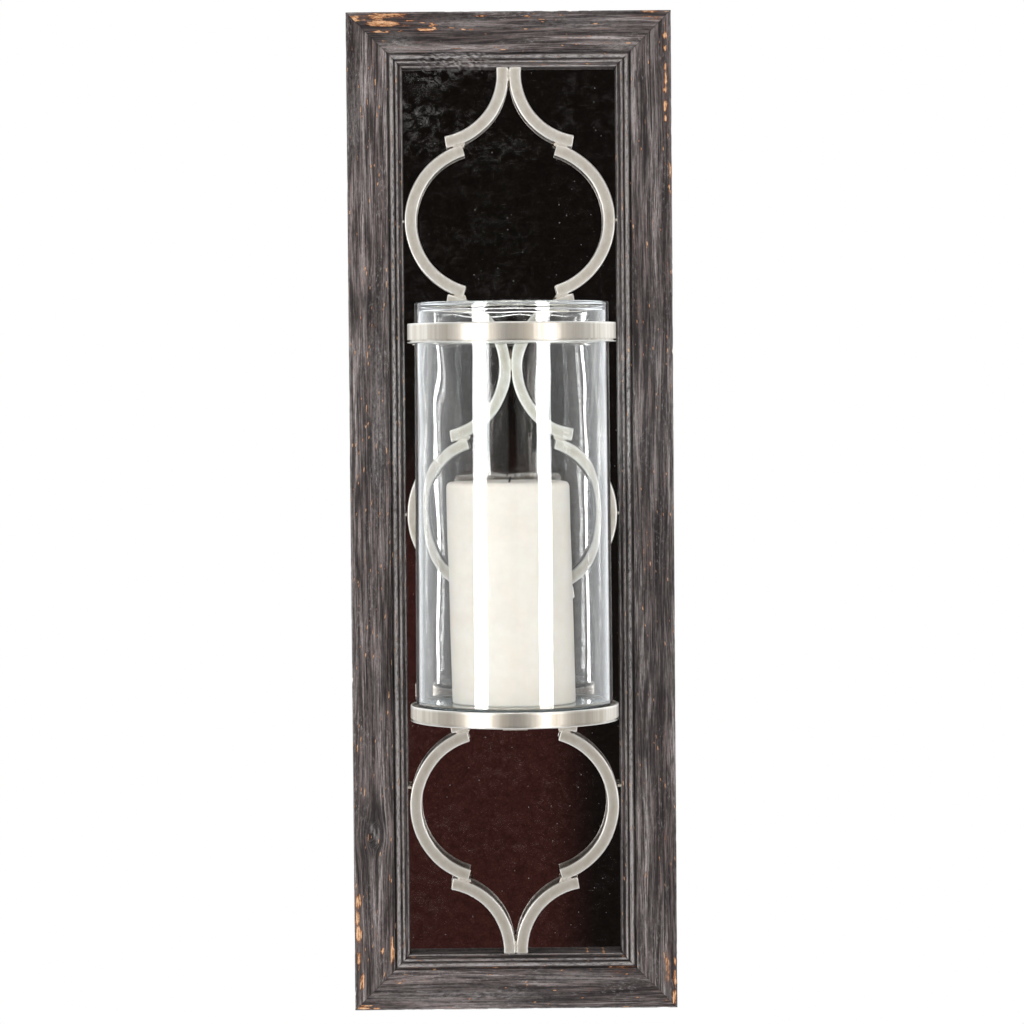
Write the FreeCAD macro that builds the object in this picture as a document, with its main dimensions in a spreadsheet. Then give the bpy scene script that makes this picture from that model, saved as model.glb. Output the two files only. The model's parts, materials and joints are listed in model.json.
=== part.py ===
"""Wall sconce candle holder: a mirrored moulding frame, a scroll of bent flat bars, and a hoop and a tray that hold a
glass hurricane with a pillar candle.

Frame of the part: +Z up, the front faces -Y, and the origin is the centre of the flat back that lies on the wall.
All sizes are millimetres.
"""
import FreeCAD, Part
import Sketcher
import math
import os
import re

DIMENSIONS = {
    # picture frame
    "FrameWidth": 206,
    "FrameHeight": 635,
    "FrameDepth": 24,        # the glass lifts past the top rail's face
    "MouldingWidth": 35,
    "RabbetWidth": 6,
    "MirrorFront": 7,        # from the wall to the mirror's face, and the depth of the rabbet
    "MirrorThickness": 3,
    "PanelClearance": 0.5,
    "FaceWidth": 25.8,       # flat outer face of the moulding
    "QuirkWidth": 1.3,
    "QuirkDepth": 2.6,
    "BigBeadRadius": 1.45,
    "BeadGap": 0.7,
    "SmallBeadRadius": 1.0,
    "CoveRadius": 1.3,
    "EdgeRounding": 1.0,
    "LipRounding": 0.4,
    "BigBeadDrop": 0.4,      # the beads' tops lie this far behind the face
    "SmallBeadDrop": 1.1,
    "Overcut": 2,
    # scroll of flat bars
    "BarWidth": 7.65,
    "BarThickness": 3,
    "BarRounding": 0.8,
    "ScrollFront": 20.5,     # from the wall to the bars' front faces
    "ScrollCentre": -1,      # height of the middle bulb
    "HalfPitch": 93.1,       # from a bulb's centre to the next arch's centre
    "BulbRadius": 50.6,      # to the bar's outer edge
    "BulbCentre": 16.4,      # bulb's centre, from the centre line
    "BulbHalfSpan": 74,      # degrees
    "ArchHalfSpan": 80.7,    # degrees
    "PinRadius": 1.0,
    "PinBite": 7,            # length of a pin inside the wood
    "LowPinRise": 12,        # the lowest pins stand above their bulbs' middles
    "EndPinX": 4.1,          # from the centre line to the pins into the rails
    "WeldRadius": 3.2,
    "WeldThickness": 0.9,
    "EndWeldInset": 4,
    # hoop, tray and their bracket
    "HoopRadius": 64.5,
    "HoopWall": 1.5,
    "HoopRounding": 0.4,
    "RingHeight": 12,
    "RingBottom": 107.5,
    "TrayHeight": 10.1,
    "TrayBottom": -126.2,
    "TrayFloorTop": -117.6,
    "TrayFloorThickness": 1.5,
    "BracketWidth": 15,
    "BracketThickness": 3,
    "BracketBend": 3,
    "BracketTop": -84,
    "BracketReach": 107,     # from the bars' rear faces to the bracket's front end
    "WedgeDepth": 3,
    "WeldInset": 1,
    "RingWeldInner": 5,
    "RingWeldOuter": 13,
    "TrayWeldInner": 8,
    "TrayWeldOuter": 18,
    # hurricane glass and candle
    "GlassHeight": 250,
    "GlassRimRadius": 60,
    "GlassHeelRadius": 61,
    "GlassWall": 2.4,
    "GlassBase": 2.3,
    "HeelRounding": 2.5,
    "CandleRadius": 38.25,
    "CandleHeight": 137.3,
    "CandleRounding": 3,
    "CandleOffset": -1.6,    # the candle stands a little left of the glass's axis
    "MeltRadius": 12,
    "MeltDepth": 2,
    "WickRadius": 0.9,
    "WickLength": 9,
    "WickSink": 3,
    # hanger plates, screws, brads and corner nails
    "PlateWidth": 16,
    "PlateLength": 42,
    "PlateThickness": 2,
    "PlateHeight": 262,      # height of the plates' middle
    "KeyRadius": 4.5,
    "KeyDrop": 4,            # the keyhole's round part is this far below the plate's middle
    "SlotRadius": 2.5,
    "SlotRise": 8,
    "PocketWidth": 13,
    "HeadRoom": 4.5,         # room past the slot's end for a wall screw's head
    "PocketDepth": 9,
    "ScrewSpread": 16,
    "ScrewRadius": 1.5,
    "ScrewClearance": 0.1,
    "ScrewHeadRadius": 3,
    "ScrewLength": 13,
    "ScrewTip": 3,
    "ScrewPointRadius": 0.3,
    "BradRadius": 0.7,
    "BradLength": 15,
    "BradSpacing": 130,
    "BradInset": 40,
    "RebateWidth": 8,
    "RebateDepth": 1.6,
    "NailLeg": 5,
    "NailThickness": 0.8,
    "NailHeight": 10,
    "NailInset": 0.5,        # the nails are sunk this far below the back
    "FirstNail": 12,
    "SecondNail": 24,
}

ARCH_RADIUS = "((BulbCentre^2 + HalfPitch^2 - BulbRadius^2) / (2 * (BulbRadius + BulbCentre)))"
OPENING_HALF_WIDTH = "(FrameWidth / 2 - MouldingWidth)"
OPENING_HALF_HEIGHT = "(FrameHeight / 2 - MouldingWidth)"
AXIS_Y = "(-ScrollFront - HoopRadius)"
PANEL_WIDTH = "(FrameWidth - 2 * MouldingWidth + 2 * RabbetWidth - 2 * PanelClearance)"
PANEL_HEIGHT = "(FrameHeight - 2 * MouldingWidth + 2 * RabbetWidth - 2 * PanelClearance)"
STILE_BACK_MIDDLE = "((MouldingWidth - RabbetWidth) / 2)"

BULBS = {"top_bulb": 2, "middle_bulb": 0, "bottom_bulb": -2}
ARCHES = {"top_half_arch": 3, "upper_arch": 1, "lower_arch": -1, "bottom_half_arch": -3}
SIDES = {"left": -1, "right": 1}

doc = FreeCAD.newDocument("WallSconce")
sheet = doc.addObject("Spreadsheet::Sheet", "Dims")
for row, (alias, value) in enumerate(DIMENSIONS.items(), start=1):
    sheet.set(f"A{row}", alias)
    sheet.set(f"B{row}", str(value))
    sheet.setAlias(f"B{row}", alias)
doc.recompute()

parts = []


# ---------------------------------------------------------------- helpers

def bound(text):
    """The expression with each sheet name in it written as a reference to the sheet."""
    return re.sub(r"\b([A-Z][A-Za-z]+)\b", r"Dims.\1", str(text))


def value_of(text):
    """The number that an expression gives now."""
    return float(sheet.evalExpression(bound(text)))


def bind(item, **sizes):
    """Bind properties of an object to expressions of the sheet."""
    for name, text in sizes.items():
        item.setExpression(name, bound(text))
    return item


def place(item, x="0", y="0", z="0"):
    """Bind an object's position to expressions of the sheet."""
    for axis, text in zip("xyz", (x, y, z)):
        item.setExpression(f"Placement.Base.{axis}", bound(text))
    return item


def turn(item, axis, angle):
    """Turn an object about an axis through its own origin, in degrees."""
    item.Placement = FreeCAD.Placement(item.Placement.Base, FreeCAD.Rotation(FreeCAD.Vector(*axis), angle))
    return item


def finish_part(item, label):
    """Name a finished sub-part, which gives its file's name."""
    item.Label = label
    parts.append(item)
    return item


def new_body(name):
    return doc.addObject("PartDesign::Body", name)


def sketch_on(body, role):
    """A new sketch on one of the body's own origin planes."""
    sketch = body.newObject("Sketcher::SketchObject", "Sketch")
    plane = next(item for item in body.Origin.OriginFeatures if item.Role == role)
    sketch.AttachmentSupport = [(plane, "")]
    sketch.MapMode = "FlatFace"
    return sketch


def constrain(sketch, kind, *place_and_value):
    """Add a constraint whose last value is an expression of the sheet."""
    *where, text = place_and_value
    index = sketch.addConstraint(Sketcher.Constraint(kind, *where, value_of(text)))
    sketch.setExpression(f"Constraints[{index}]", bound(text))


def arc_between(start, end, radius):
    """The arc of under half a turn from start to end: anticlockwise if the radius is positive."""
    middle = (start + end) / 2
    chord = end - start
    rise = math.sqrt(max(radius ** 2 - (chord.Length / 2) ** 2, 0))
    side = FreeCAD.Vector(-chord.y, chord.x, 0).normalize() * rise
    centre = middle + side if radius > 0 else middle - side
    first, last = (start, end) if radius > 0 else (end, start)
    circle = Part.Circle(centre, FreeCAD.Vector(0, 0, 1), abs(radius))
    angles = [math.atan2(point.y - centre.y, point.x - centre.x) for point in (first, last)]
    return Part.ArcOfCircle(circle, *angles)


def outline(sketch, corners):
    """A closed outline whose corners and arc radii are bound to the sheet.

    A corner is (x, y), or (x, y, radius) where the side that leaves it is an arc of under half a turn. A minus sign
    before the radius makes the arc clockwise.
    """
    points = [FreeCAD.Vector(value_of(corner[0]), value_of(corner[1]), 0) for corner in corners]
    ends = []
    for index, corner in enumerate(corners):
        start, end = points[index], points[(index + 1) % len(corners)]
        if len(corner) == 2:
            side = sketch.addGeometry(Part.LineSegment(start, end), False)
            ends.append((side, 1, 2))
            continue
        radius = value_of(corner[2])
        side = sketch.addGeometry(arc_between(start, end, radius), False)
        ends.append((side, 1, 2) if radius > 0 else (side, 2, 1))
        constrain(sketch, "Radius", side, corner[2] if radius > 0 else f"-({corner[2]})")
    for index, corner in enumerate(corners):
        side, start, end = ends[index]
        next_side, next_start, _ = ends[(index + 1) % len(corners)]
        sketch.addConstraint(Sketcher.Constraint("Coincident", side, end, next_side, next_start))
        constrain(sketch, "DistanceX", -1, 1, side, start, corner[0])
        constrain(sketch, "DistanceY", -1, 1, side, start, corner[1])


def circle_at(sketch, x, y, radius):
    """A circle whose centre and radius are bound to the sheet."""
    centre = FreeCAD.Vector(value_of(x), value_of(y), 0)
    circle = sketch.addGeometry(Part.Circle(centre, FreeCAD.Vector(0, 0, 1), value_of(radius)), False)
    constrain(sketch, "DistanceX", -1, 1, circle, 3, x)
    constrain(sketch, "DistanceY", -1, 1, circle, 3, y)
    constrain(sketch, "Radius", circle, radius)


def rectangle(sketch, x_low, y_low, x_high, y_high):
    outline(sketch, [(x_low, y_low), (x_high, y_low), (x_high, y_high), (x_low, y_high)])


def centred_rectangle(sketch, width, height):
    rectangle(sketch, f"-({width}) / 2", f"-({height}) / 2", f"({width}) / 2", f"({height}) / 2")


def stadium(sketch, x, y, radius, length):
    """An upright slot shape with round ends, about its middle."""
    rise = f"(({length}) / 2 - {radius})"
    outline(sketch, [
        (f"{x} + {radius}", f"{y} - {rise}"),
        (f"{x} + {radius}", f"{y} + {rise}", radius),
        (x, f"{y} + {rise} + {radius}", radius),
        (f"{x} - {radius}", f"{y} + {rise}"),
        (f"{x} - {radius}", f"{y} - {rise}", radius),
        (x, f"{y} - {rise} - {radius}", radius),
    ])


def pad(body, sketch, length, reverse=False, both_ways=False):
    feature = body.newObject("PartDesign::Pad", "Pad")
    feature.Profile = sketch
    feature.SideType = "Symmetric" if both_ways else "One side"
    feature.Reversed = reverse
    return bind(feature, Length=length)


def pocket(body, sketch, length, reverse=False, both_ways=False):
    feature = body.newObject("PartDesign::Pocket", "Pocket")
    feature.Profile = sketch
    feature.SideType = "Symmetric" if both_ways else "One side"
    feature.Reversed = reverse
    return bind(feature, Length=length)


def revolve(body, sketch):
    """Turn a sketch on the XZ plane about the body's Z axis."""
    feature = body.newObject("PartDesign::Revolution", "Revolution")
    feature.Profile = sketch
    feature.ReferenceAxis = (sketch, ["V_Axis"])
    feature.Angle = 360
    return feature


def round_all_edges(body, base, radius):
    feature = body.newObject("PartDesign::Fillet", "Fillet")
    feature.Base = (base, [""])
    feature.UseAllEdges = True
    return bind(feature, Radius=radius)


def group(name, solids):
    """One sub-part made of separate solids."""
    compound = doc.addObject("Part::Compound", name)
    compound.Links = solids
    return finish_part(compound, name)


def cylinder(radius, length):
    return bind(doc.addObject("Part::Cylinder", "Cylinder"), Radius=radius, Height=length)


def box(x, y, z, width, depth, height):
    """A box from its low corner and its sizes along X, Y and Z."""
    item = bind(doc.addObject("Part::Box", "Box"), Length=width, Width=depth, Height=height)
    return place(item, x, y, z)


# ---------------------------------------------------------------- picture frame

def moulding_profile(sketch):
    """Section of the moulding: x runs from the outer edge to the sight edge, y from the back to the front."""
    big_left = "(FaceWidth + QuirkWidth)"
    big_right = f"({big_left} + 2 * BigBeadRadius)"
    small_left = f"({big_right} + BeadGap)"
    small_right = f"({small_left} + 2 * SmallBeadRadius)"
    quirk_floor = "(FrameDepth - QuirkDepth)"
    big_spring = "(FrameDepth - BigBeadDrop - BigBeadRadius)"
    small_spring = "(FrameDepth - SmallBeadDrop - SmallBeadRadius)"
    lip = f"({quirk_floor} - CoveRadius)"
    outline(sketch, [
        ("0", "0"),
        ("MouldingWidth - RabbetWidth", "0"),
        ("MouldingWidth - RabbetWidth", "MirrorFront"),
        ("MouldingWidth", "MirrorFront"),
        ("MouldingWidth", f"{lip} - LipRounding", "LipRounding"),
        ("MouldingWidth - LipRounding", lip),
        (f"{small_right} + CoveRadius", lip, "-CoveRadius"),
        (small_right, quirk_floor),
        (small_right, small_spring, "SmallBeadRadius"),
        (f"{small_right} - SmallBeadRadius", f"{small_spring} + SmallBeadRadius", "SmallBeadRadius"),
        (small_left, small_spring),
        (small_left, quirk_floor),
        (big_right, quirk_floor),
        (big_right, big_spring, "BigBeadRadius"),
        (f"{big_right} - BigBeadRadius", f"{big_spring} + BigBeadRadius", "BigBeadRadius"),
        (big_left, big_spring),
        (big_left, quirk_floor),
        ("FaceWidth", quirk_floor),
        ("FaceWidth", "FrameDepth - LipRounding", "LipRounding"),
        ("FaceWidth - LipRounding", "FrameDepth"),
        ("EdgeRounding", "FrameDepth", "EdgeRounding"),
        ("0", "FrameDepth - EdgeRounding"),
    ])


def cut_mitres(body, length):
    """Cut both ends at 45 degrees, so that the sight edge is the short one."""
    sketch = sketch_on(body, "XZ_Plane")
    for sign in ("1", "-1"):
        outline(sketch, [
            ("-Overcut", f"{sign} * ({length} / 2 + Overcut)"),
            ("MouldingWidth + Overcut", f"{sign} * ({length} / 2 + Overcut)"),
            ("MouldingWidth + Overcut", f"{sign} * ({length} / 2 - MouldingWidth - Overcut)"),
        ])
    pocket(body, sketch, "2 * (FrameDepth + Overcut)", both_ways=True)


def cut_hanger_recess(body, up):
    """Let a hanger plate into the back of a stile, with room behind it for the nail's head."""
    plate = sketch_on(body, "XZ_Plane")
    middle = f"({up} * PlateHeight)"
    stadium(plate, STILE_BACK_MIDDLE, middle, "PlateWidth / 2", "PlateLength")
    pocket(body, plate, "PlateThickness")
    room = sketch_on(body, "XZ_Plane")
    rectangle(room,
              f"{STILE_BACK_MIDDLE} - PocketWidth / 2", f"{middle} - {up} * (KeyDrop + PocketWidth / 2)",
              f"{STILE_BACK_MIDDLE} + PocketWidth / 2", f"{middle} + {up} * (SlotRise + HeadRoom)")
    pocket(body, room, "PocketDepth")


def frame_member(label, length, angle, x="0", z="0", hanger_up=None):
    """One moulding member, made with its outer edge at x = 0, then turned about Y to its side of the frame."""
    body = new_body(label)
    profile = sketch_on(body, "XY_Plane")
    moulding_profile(profile)
    pad(body, profile, length, both_ways=True)
    cut_mitres(body, length)
    if hanger_up:
        cut_hanger_recess(body, hanger_up)
    front_to_minus_y = FreeCAD.Rotation(FreeCAD.Vector(1, 0, 0), 180)
    to_its_side = FreeCAD.Rotation(FreeCAD.Vector(0, 1, 0), angle)
    body.Placement = FreeCAD.Placement(FreeCAD.Vector(), to_its_side.multiply(front_to_minus_y))
    place(body, x, "0", z)
    finish_part(body, label)


def picture_frame():
    frame_member("frame_left_stile", "FrameHeight", 0, x="-FrameWidth / 2", hanger_up="-1")
    frame_member("frame_right_stile", "FrameHeight", 180, x="FrameWidth / 2", hanger_up="1")
    frame_member("frame_top_rail", "FrameWidth", 90, z="FrameHeight / 2")
    frame_member("frame_bottom_rail", "FrameWidth", -90, z="-FrameHeight / 2")


def mirror_panel():
    body = new_body("mirror_panel")
    sketch = sketch_on(body, "XZ_Plane")
    centred_rectangle(sketch, PANEL_WIDTH, PANEL_HEIGHT)
    pad(body, sketch, "MirrorThickness")
    place(body, y="MirrorThickness - MirrorFront")
    finish_part(body, "mirror_panel")


def backing_board():
    """Flush with the frame's back, with a rebate round its rear edge for the brads."""
    body = new_body("backing_board")
    middle = sketch_on(body, "XZ_Plane")
    centred_rectangle(middle, f"{PANEL_WIDTH} - 2 * RebateWidth", f"{PANEL_HEIGHT} - 2 * RebateWidth")
    pad(body, middle, "MirrorFront - MirrorThickness")
    border = sketch_on(body, "XZ_Plane")
    border.setExpression("AttachmentOffset.Base.z", bound("RebateDepth"))
    centred_rectangle(border, PANEL_WIDTH, PANEL_HEIGHT)
    pad(body, border, "MirrorFront - MirrorThickness - RebateDepth")
    finish_part(body, "backing_board")


def corner_nails():
    """Two V nails across each mitre, driven in from the back."""
    body = new_body("corner_nails")
    sketch = sketch_on(body, "XZ_Plane")
    sketch.setExpression("AttachmentOffset.Base.z", bound("NailInset"))
    for across in (-1, 1):
        for up in (-1, 1):
            for inset in ("FirstNail", "SecondNail"):
                x, z = f"FrameWidth / 2 - {inset}", f"FrameHeight / 2 - {inset}"
                steps = [("0", "0"), ("0", "NailLeg"), ("NailThickness", "NailLeg"),
                         ("NailThickness", "NailThickness"), ("NailLeg", "NailThickness"), ("NailLeg", "0")]
                outline(sketch, [(f"{across} * ({x} + {dx})", f"{up} * ({z} + {dz})") for dx, dz in steps])
    pad(body, sketch, "NailHeight")
    finish_part(body, "corner_nails")


def retainer_brads():
    """Brads pushed sideways into the rabbet's wall, over the board's rebate."""
    depth = "-BradRadius - (RebateDepth - 2 * BradRadius) / 2"
    wall_x = f"({OPENING_HALF_WIDTH} + RabbetWidth)"
    wall_z = f"({OPENING_HALF_HEIGHT} + RabbetWidth)"
    brads = []
    for sign in (-1, 1):
        for spot in (-3, -1, 1, 3):
            brad = turn(cylinder("BradRadius", "BradLength"), (0, 1, 0), 90)
            brads.append(place(brad, f"{sign} * {wall_x} - BradLength / 2", depth, f"{spot} * BradSpacing / 2"))
        for spot in (-1, 1):
            brad = cylinder("BradRadius", "BradLength")
            brads.append(place(brad, f"{spot} * BradInset", depth, f"{sign} * {wall_z} - BradLength / 2"))
    group("retainer_brads", brads)


# ---------------------------------------------------------------- hanger plates

def plate_x(sign):
    return f"{sign} * (FrameWidth / 2 - {STILE_BACK_MIDDLE})"


def is_screw_rim(edge):
    """True for the rear edge of a screw hole."""
    if not isinstance(edge.Curve, Part.Circle):
        return False
    hole_size = abs(edge.Curve.Radius - value_of("ScrewRadius + ScrewClearance")) < 1e-6
    return hole_size and abs(edge.Curve.Center.y) < 1e-6


def hanger_plate(label, sign):
    """A keyhole plate, with two countersunk screw holes."""
    body = new_body(label)
    outer = sketch_on(body, "XZ_Plane")
    stadium(outer, "0", "0", "PlateWidth / 2", "PlateLength")
    pad(body, outer, "PlateThickness")
    holes = sketch_on(body, "XZ_Plane")
    neck = "(sqrt(KeyRadius^2 - SlotRadius^2) - KeyDrop)"
    outline(holes, [
        ("SlotRadius", neck),
        ("SlotRadius", "SlotRise", "SlotRadius"),
        ("0", "SlotRise + SlotRadius", "SlotRadius"),
        ("-SlotRadius", "SlotRise"),
        ("-SlotRadius", neck, "KeyRadius"),
        ("0", "-KeyDrop - KeyRadius", "KeyRadius"),
    ])
    for up in (-1, 1):
        circle_at(holes, "0", f"{up} * ScrewSpread", "ScrewRadius + ScrewClearance")
    through = pocket(body, holes, "PlateThickness", reverse=True)
    doc.recompute()
    rims = [f"Edge{index}" for index, edge in enumerate(through.Shape.Edges, start=1)
            if is_screw_rim(edge)]
    countersink = body.newObject("PartDesign::Chamfer", "Chamfer")
    countersink.Base = (through, rims)
    bind(countersink, Size="ScrewHeadRadius - ScrewRadius")
    place(body, plate_x(sign), "0", "PlateHeight")
    finish_part(body, label)


def hanger_screws():
    """Countersunk wood screws, two in each plate."""
    screws = []
    head_height = "(ScrewHeadRadius - ScrewRadius)"
    for sign in (-1, 1):
        for up in (-1, 1):
            x, z = plate_x(sign), f"PlateHeight + {up} * ScrewSpread"
            head = bind(doc.addObject("Part::Cone", "Cone"),
                        Radius1="ScrewHeadRadius", Radius2="ScrewRadius", Height=head_height)
            shank = cylinder("ScrewRadius", "ScrewLength - ScrewTip")
            tip = bind(doc.addObject("Part::Cone", "Cone"),
                       Radius1="ScrewRadius", Radius2="ScrewPointRadius", Height="ScrewTip")
            starts = ("-ScrewClearance", "-ScrewClearance", "-ScrewClearance - ScrewLength + ScrewTip")
            for item, y in zip((head, shank, tip), starts):
                turn(item, (1, 0, 0), 90)
                place(item, x, y, z)
            screw = doc.addObject("Part::MultiFuse", "Screw")
            screw.Shapes = [head, shank, tip]
            screws.append(screw)
    group("hanger_screws", screws)


# ---------------------------------------------------------------- scroll of flat bars

def row_height(step):
    """Height of a bulb's or an arch's centre, counted in half pitches from the middle bulb."""
    return f"(ScrollCentre + {step} * HalfPitch)"


def square_end(centre, radius, facing, up, span):
    """The outer and the inner corner of a bar's end, cut square."""
    x, z = centre
    return [(f"{x} + {facing} * ({size}) * cos({span})", f"{z} + {up} * ({size}) * sin({span})")
            for size in (radius, f"{radius} - BarWidth")]


def level_end(centre, radius, cut):
    """The outer and the inner corner of a bar's end that is cut level, against a rail."""
    x, z = centre
    return [(f"{x} - sqrt(({size})^2 - ({cut} - {z})^2)", cut) for size in (radius, f"{radius} - BarWidth")]


def flat_bar(label, sign, radius, first, last):
    """A flat bar bent to an arc that runs anticlockwise from its first end to its last, on the right-hand side."""
    body = new_body(label)
    sketch = sketch_on(body, "XZ_Plane")
    (first_outer, first_inner), (last_outer, last_inner) = [
        [(f"{sign} * ({x})", z) for x, z in end] for end in (first, last)]
    outline(sketch, [
        (*first_outer, f"{sign} * {radius}"),
        last_outer,
        (*last_inner, f"{-sign} * ({radius} - BarWidth)"),
        first_inner,
    ])
    bar = pad(body, sketch, "BarThickness")
    round_all_edges(body, bar, "BarRounding")
    place(body, y="BarThickness - ScrollFront")
    finish_part(body, label)


def scroll_bars(side, sign):
    """The seven bars of one side: bulbs bow outwards, and arches bow in to the centre line."""
    for name, step in BULBS.items():
        centre = ("BulbCentre", row_height(step))
        low, high = [square_end(centre, "BulbRadius", 1, up, "BulbHalfSpan") for up in (-1, 1)]
        flat_bar(f"scroll_{side}_{name}", sign, "BulbRadius", low, high)
    for name, step in ARCHES.items():
        centre = (ARCH_RADIUS, row_height(step))
        high, low = [square_end(centre, ARCH_RADIUS, -1, up, "ArchHalfSpan") for up in (1, -1)]
        if name == "top_half_arch":
            high = level_end(centre, ARCH_RADIUS, OPENING_HALF_HEIGHT)
        if name == "bottom_half_arch":
            low = level_end(centre, ARCH_RADIUS, f"(-{OPENING_HALF_HEIGHT})")
        flat_bar(f"scroll_{side}_{name}", sign, ARCH_RADIUS, high, low)


def weld_spots(label, spots):
    """Round welds on the back of the bars."""
    body = new_body(label)
    sketch = sketch_on(body, "XZ_Plane")
    for x, z in spots:
        circle_at(sketch, x, z, "WeldRadius")
    pad(body, sketch, "WeldThickness", reverse=True)
    place(body, y="BarThickness - ScrollFront")
    finish_part(body, label)


def scroll_welds():
    """Welds where arches meet bulbs, and where left and right arches meet."""
    share = f"BulbRadius / (BulbRadius + {ARCH_RADIUS})"
    lap_x = f"(BulbCentre + ({ARCH_RADIUS} - BulbCentre) * {share})"
    weld_spots("scroll_lap_welds", [
        (f"{sign} * {lap_x}", f"{row_height(step)} + {up} * HalfPitch * {share}")
        for sign in SIDES.values() for step in BULBS.values() for up in (-1, 1)])
    weld_spots("scroll_centre_welds", [
        ("0", f"{OPENING_HALF_HEIGHT} - EndWeldInset"),
        ("0", row_height(ARCHES["upper_arch"])),
        ("0", f"EndWeldInset - {OPENING_HALF_HEIGHT}"),
    ])


def scroll_pins():
    """Pins from the frame's inner edge to each bulb, and into the ends of the half arches."""
    depth = "BarThickness / 2 - ScrollFront"
    pins = []
    for sign in SIDES.values():
        for name, step in BULBS.items():
            rise = "LowPinRise" if name == "bottom_bulb" else "0"
            start = f"(BulbCentre + sqrt(BulbRadius^2 - max({rise} - PinRadius; 0)^2))"
            length = f"({OPENING_HALF_WIDTH} + PinBite - {start})"
            pin = turn(cylinder("PinRadius", length), (0, 1, 0), 90 * sign)
            pins.append(place(pin, f"{sign} * {start}", depth, f"{row_height(step)} + {rise}"))
        for up in (-1, 1):
            pin = turn(cylinder("PinRadius", "PinBite"), (1, 0, 0), 90 - 90 * up)
            pins.append(place(pin, f"{sign} * EndPinX", depth, f"{up} * {OPENING_HALF_HEIGHT}"))
    group("scroll_pins", pins)


# ---------------------------------------------------------------- hoops, tray and bracket

def hoop(label, bottom, height):
    """A flat band rolled into a ring about the glass's axis."""
    body = new_body(label)
    sketch = sketch_on(body, "XZ_Plane")
    rectangle(sketch, "HoopRadius - HoopWall", "0", "HoopRadius", height)
    ring = revolve(body, sketch)
    round_all_edges(body, ring, "HoopRounding")
    place(body, y=AXIS_Y, z=bottom)
    finish_part(body, label)


def hoop_welds(label, inner, outer, bottom, height):
    """Two welds that fill the wedge between a hoop's back and the bars' front faces."""
    welds = []
    for sign in SIDES.values():
        low = inner if sign > 0 else f"-({outer})"
        block = box(low, "-ScrollFront - WedgeDepth", bottom, f"{outer} - {inner}", "WedgeDepth", height)
        band = place(cylinder("HoopRadius", f"{height} + 2 * Overcut"), "0", AXIS_Y, f"{bottom} - Overcut")
        weld = doc.addObject("Part::Cut", "Weld")
        weld.Base = block
        weld.Tool = band
        welds.append(weld)
    group(label, welds)


def tray_floor():
    floor = cylinder("HoopRadius - HoopWall", "TrayFloorThickness")
    place(floor, "0", AXIS_Y, "TrayFloorTop - TrayFloorThickness")
    finish_part(floor, "tray_floor")


def tray_bracket():
    """A strap from behind the scroll's lower crossing, bent forward between the bars and under the tray."""
    body = new_body("tray_bracket")
    sketch = sketch_on(body, "YZ_Plane")
    front = "(BarThickness - ScrollFront)"
    rear = f"({front} + BracketThickness)"
    outline(sketch, [
        (front, "BracketTop"),
        (front, "TrayBottom + BracketBend", "-BracketBend"),
        (f"{front} - BracketBend", "TrayBottom"),
        (f"{front} - BracketReach", "TrayBottom"),
        (f"{front} - BracketReach", "TrayBottom - BracketThickness"),
        (f"{front} - BracketBend", "TrayBottom - BracketThickness", "BracketBend + BracketThickness"),
        (rear, "TrayBottom + BracketBend"),
        (rear, "BracketTop"),
    ])
    pad(body, sketch, "BracketWidth", both_ways=True)
    finish_part(body, "tray_bracket")


# ---------------------------------------------------------------- glass and candle

def hurricane_glass():
    """A closed-based cylinder that widens a little towards its heel, with a fire-polished rim."""
    body = new_body("hurricane_glass")
    sketch = sketch_on(body, "XZ_Plane")
    inner_heel = "(GlassHeelRadius - GlassWall)"
    outline(sketch, [
        ("0", "0"),
        ("GlassHeelRadius - HeelRounding", "0", "HeelRounding"),
        ("GlassHeelRadius", "HeelRounding"),
        ("GlassRimRadius", "GlassHeight - GlassWall / 2", "GlassWall / 2"),
        ("GlassRimRadius - GlassWall / 2", "GlassHeight", "GlassWall / 2"),
        ("GlassRimRadius - GlassWall", "GlassHeight - GlassWall / 2"),
        (inner_heel, "GlassBase + HeelRounding", "-HeelRounding"),
        (f"{inner_heel} - HeelRounding", "GlassBase"),
        ("0", "GlassBase"),
    ])
    revolve(body, sketch)
    place(body, y=AXIS_Y, z="TrayFloorTop")
    finish_part(body, "hurricane_glass")


def pillar_candle():
    """Rounded edges, and a shallow melt dish round the wick's hole."""
    body = new_body("pillar_candle")
    sketch = sketch_on(body, "XZ_Plane")
    dish_radius = "((MeltRadius^2 + MeltDepth^2) / (2 * MeltDepth))"
    outline(sketch, [
        ("0", "0"),
        ("CandleRadius - CandleRounding", "0", "CandleRounding"),
        ("CandleRadius", "CandleRounding"),
        ("CandleRadius", "CandleHeight - CandleRounding", "CandleRounding"),
        ("CandleRadius - CandleRounding", "CandleHeight"),
        ("MeltRadius", "CandleHeight", f"-{dish_radius}"),
        ("WickRadius", "CandleHeight - MeltDepth"),
        ("WickRadius", "CandleHeight - MeltDepth - WickSink"),
        ("0", "CandleHeight - MeltDepth - WickSink"),
    ])
    revolve(body, sketch)
    place(body, "CandleOffset", AXIS_Y, "TrayFloorTop + GlassBase")
    finish_part(body, "pillar_candle")


def candle_wick():
    wick = cylinder("WickRadius", "WickLength")
    foot = "TrayFloorTop + GlassBase + CandleHeight - MeltDepth - WickSink"
    place(wick, "CandleOffset", AXIS_Y, foot)
    finish_part(wick, "candle_wick")


# ---------------------------------------------------------------- the whole sconce

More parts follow.
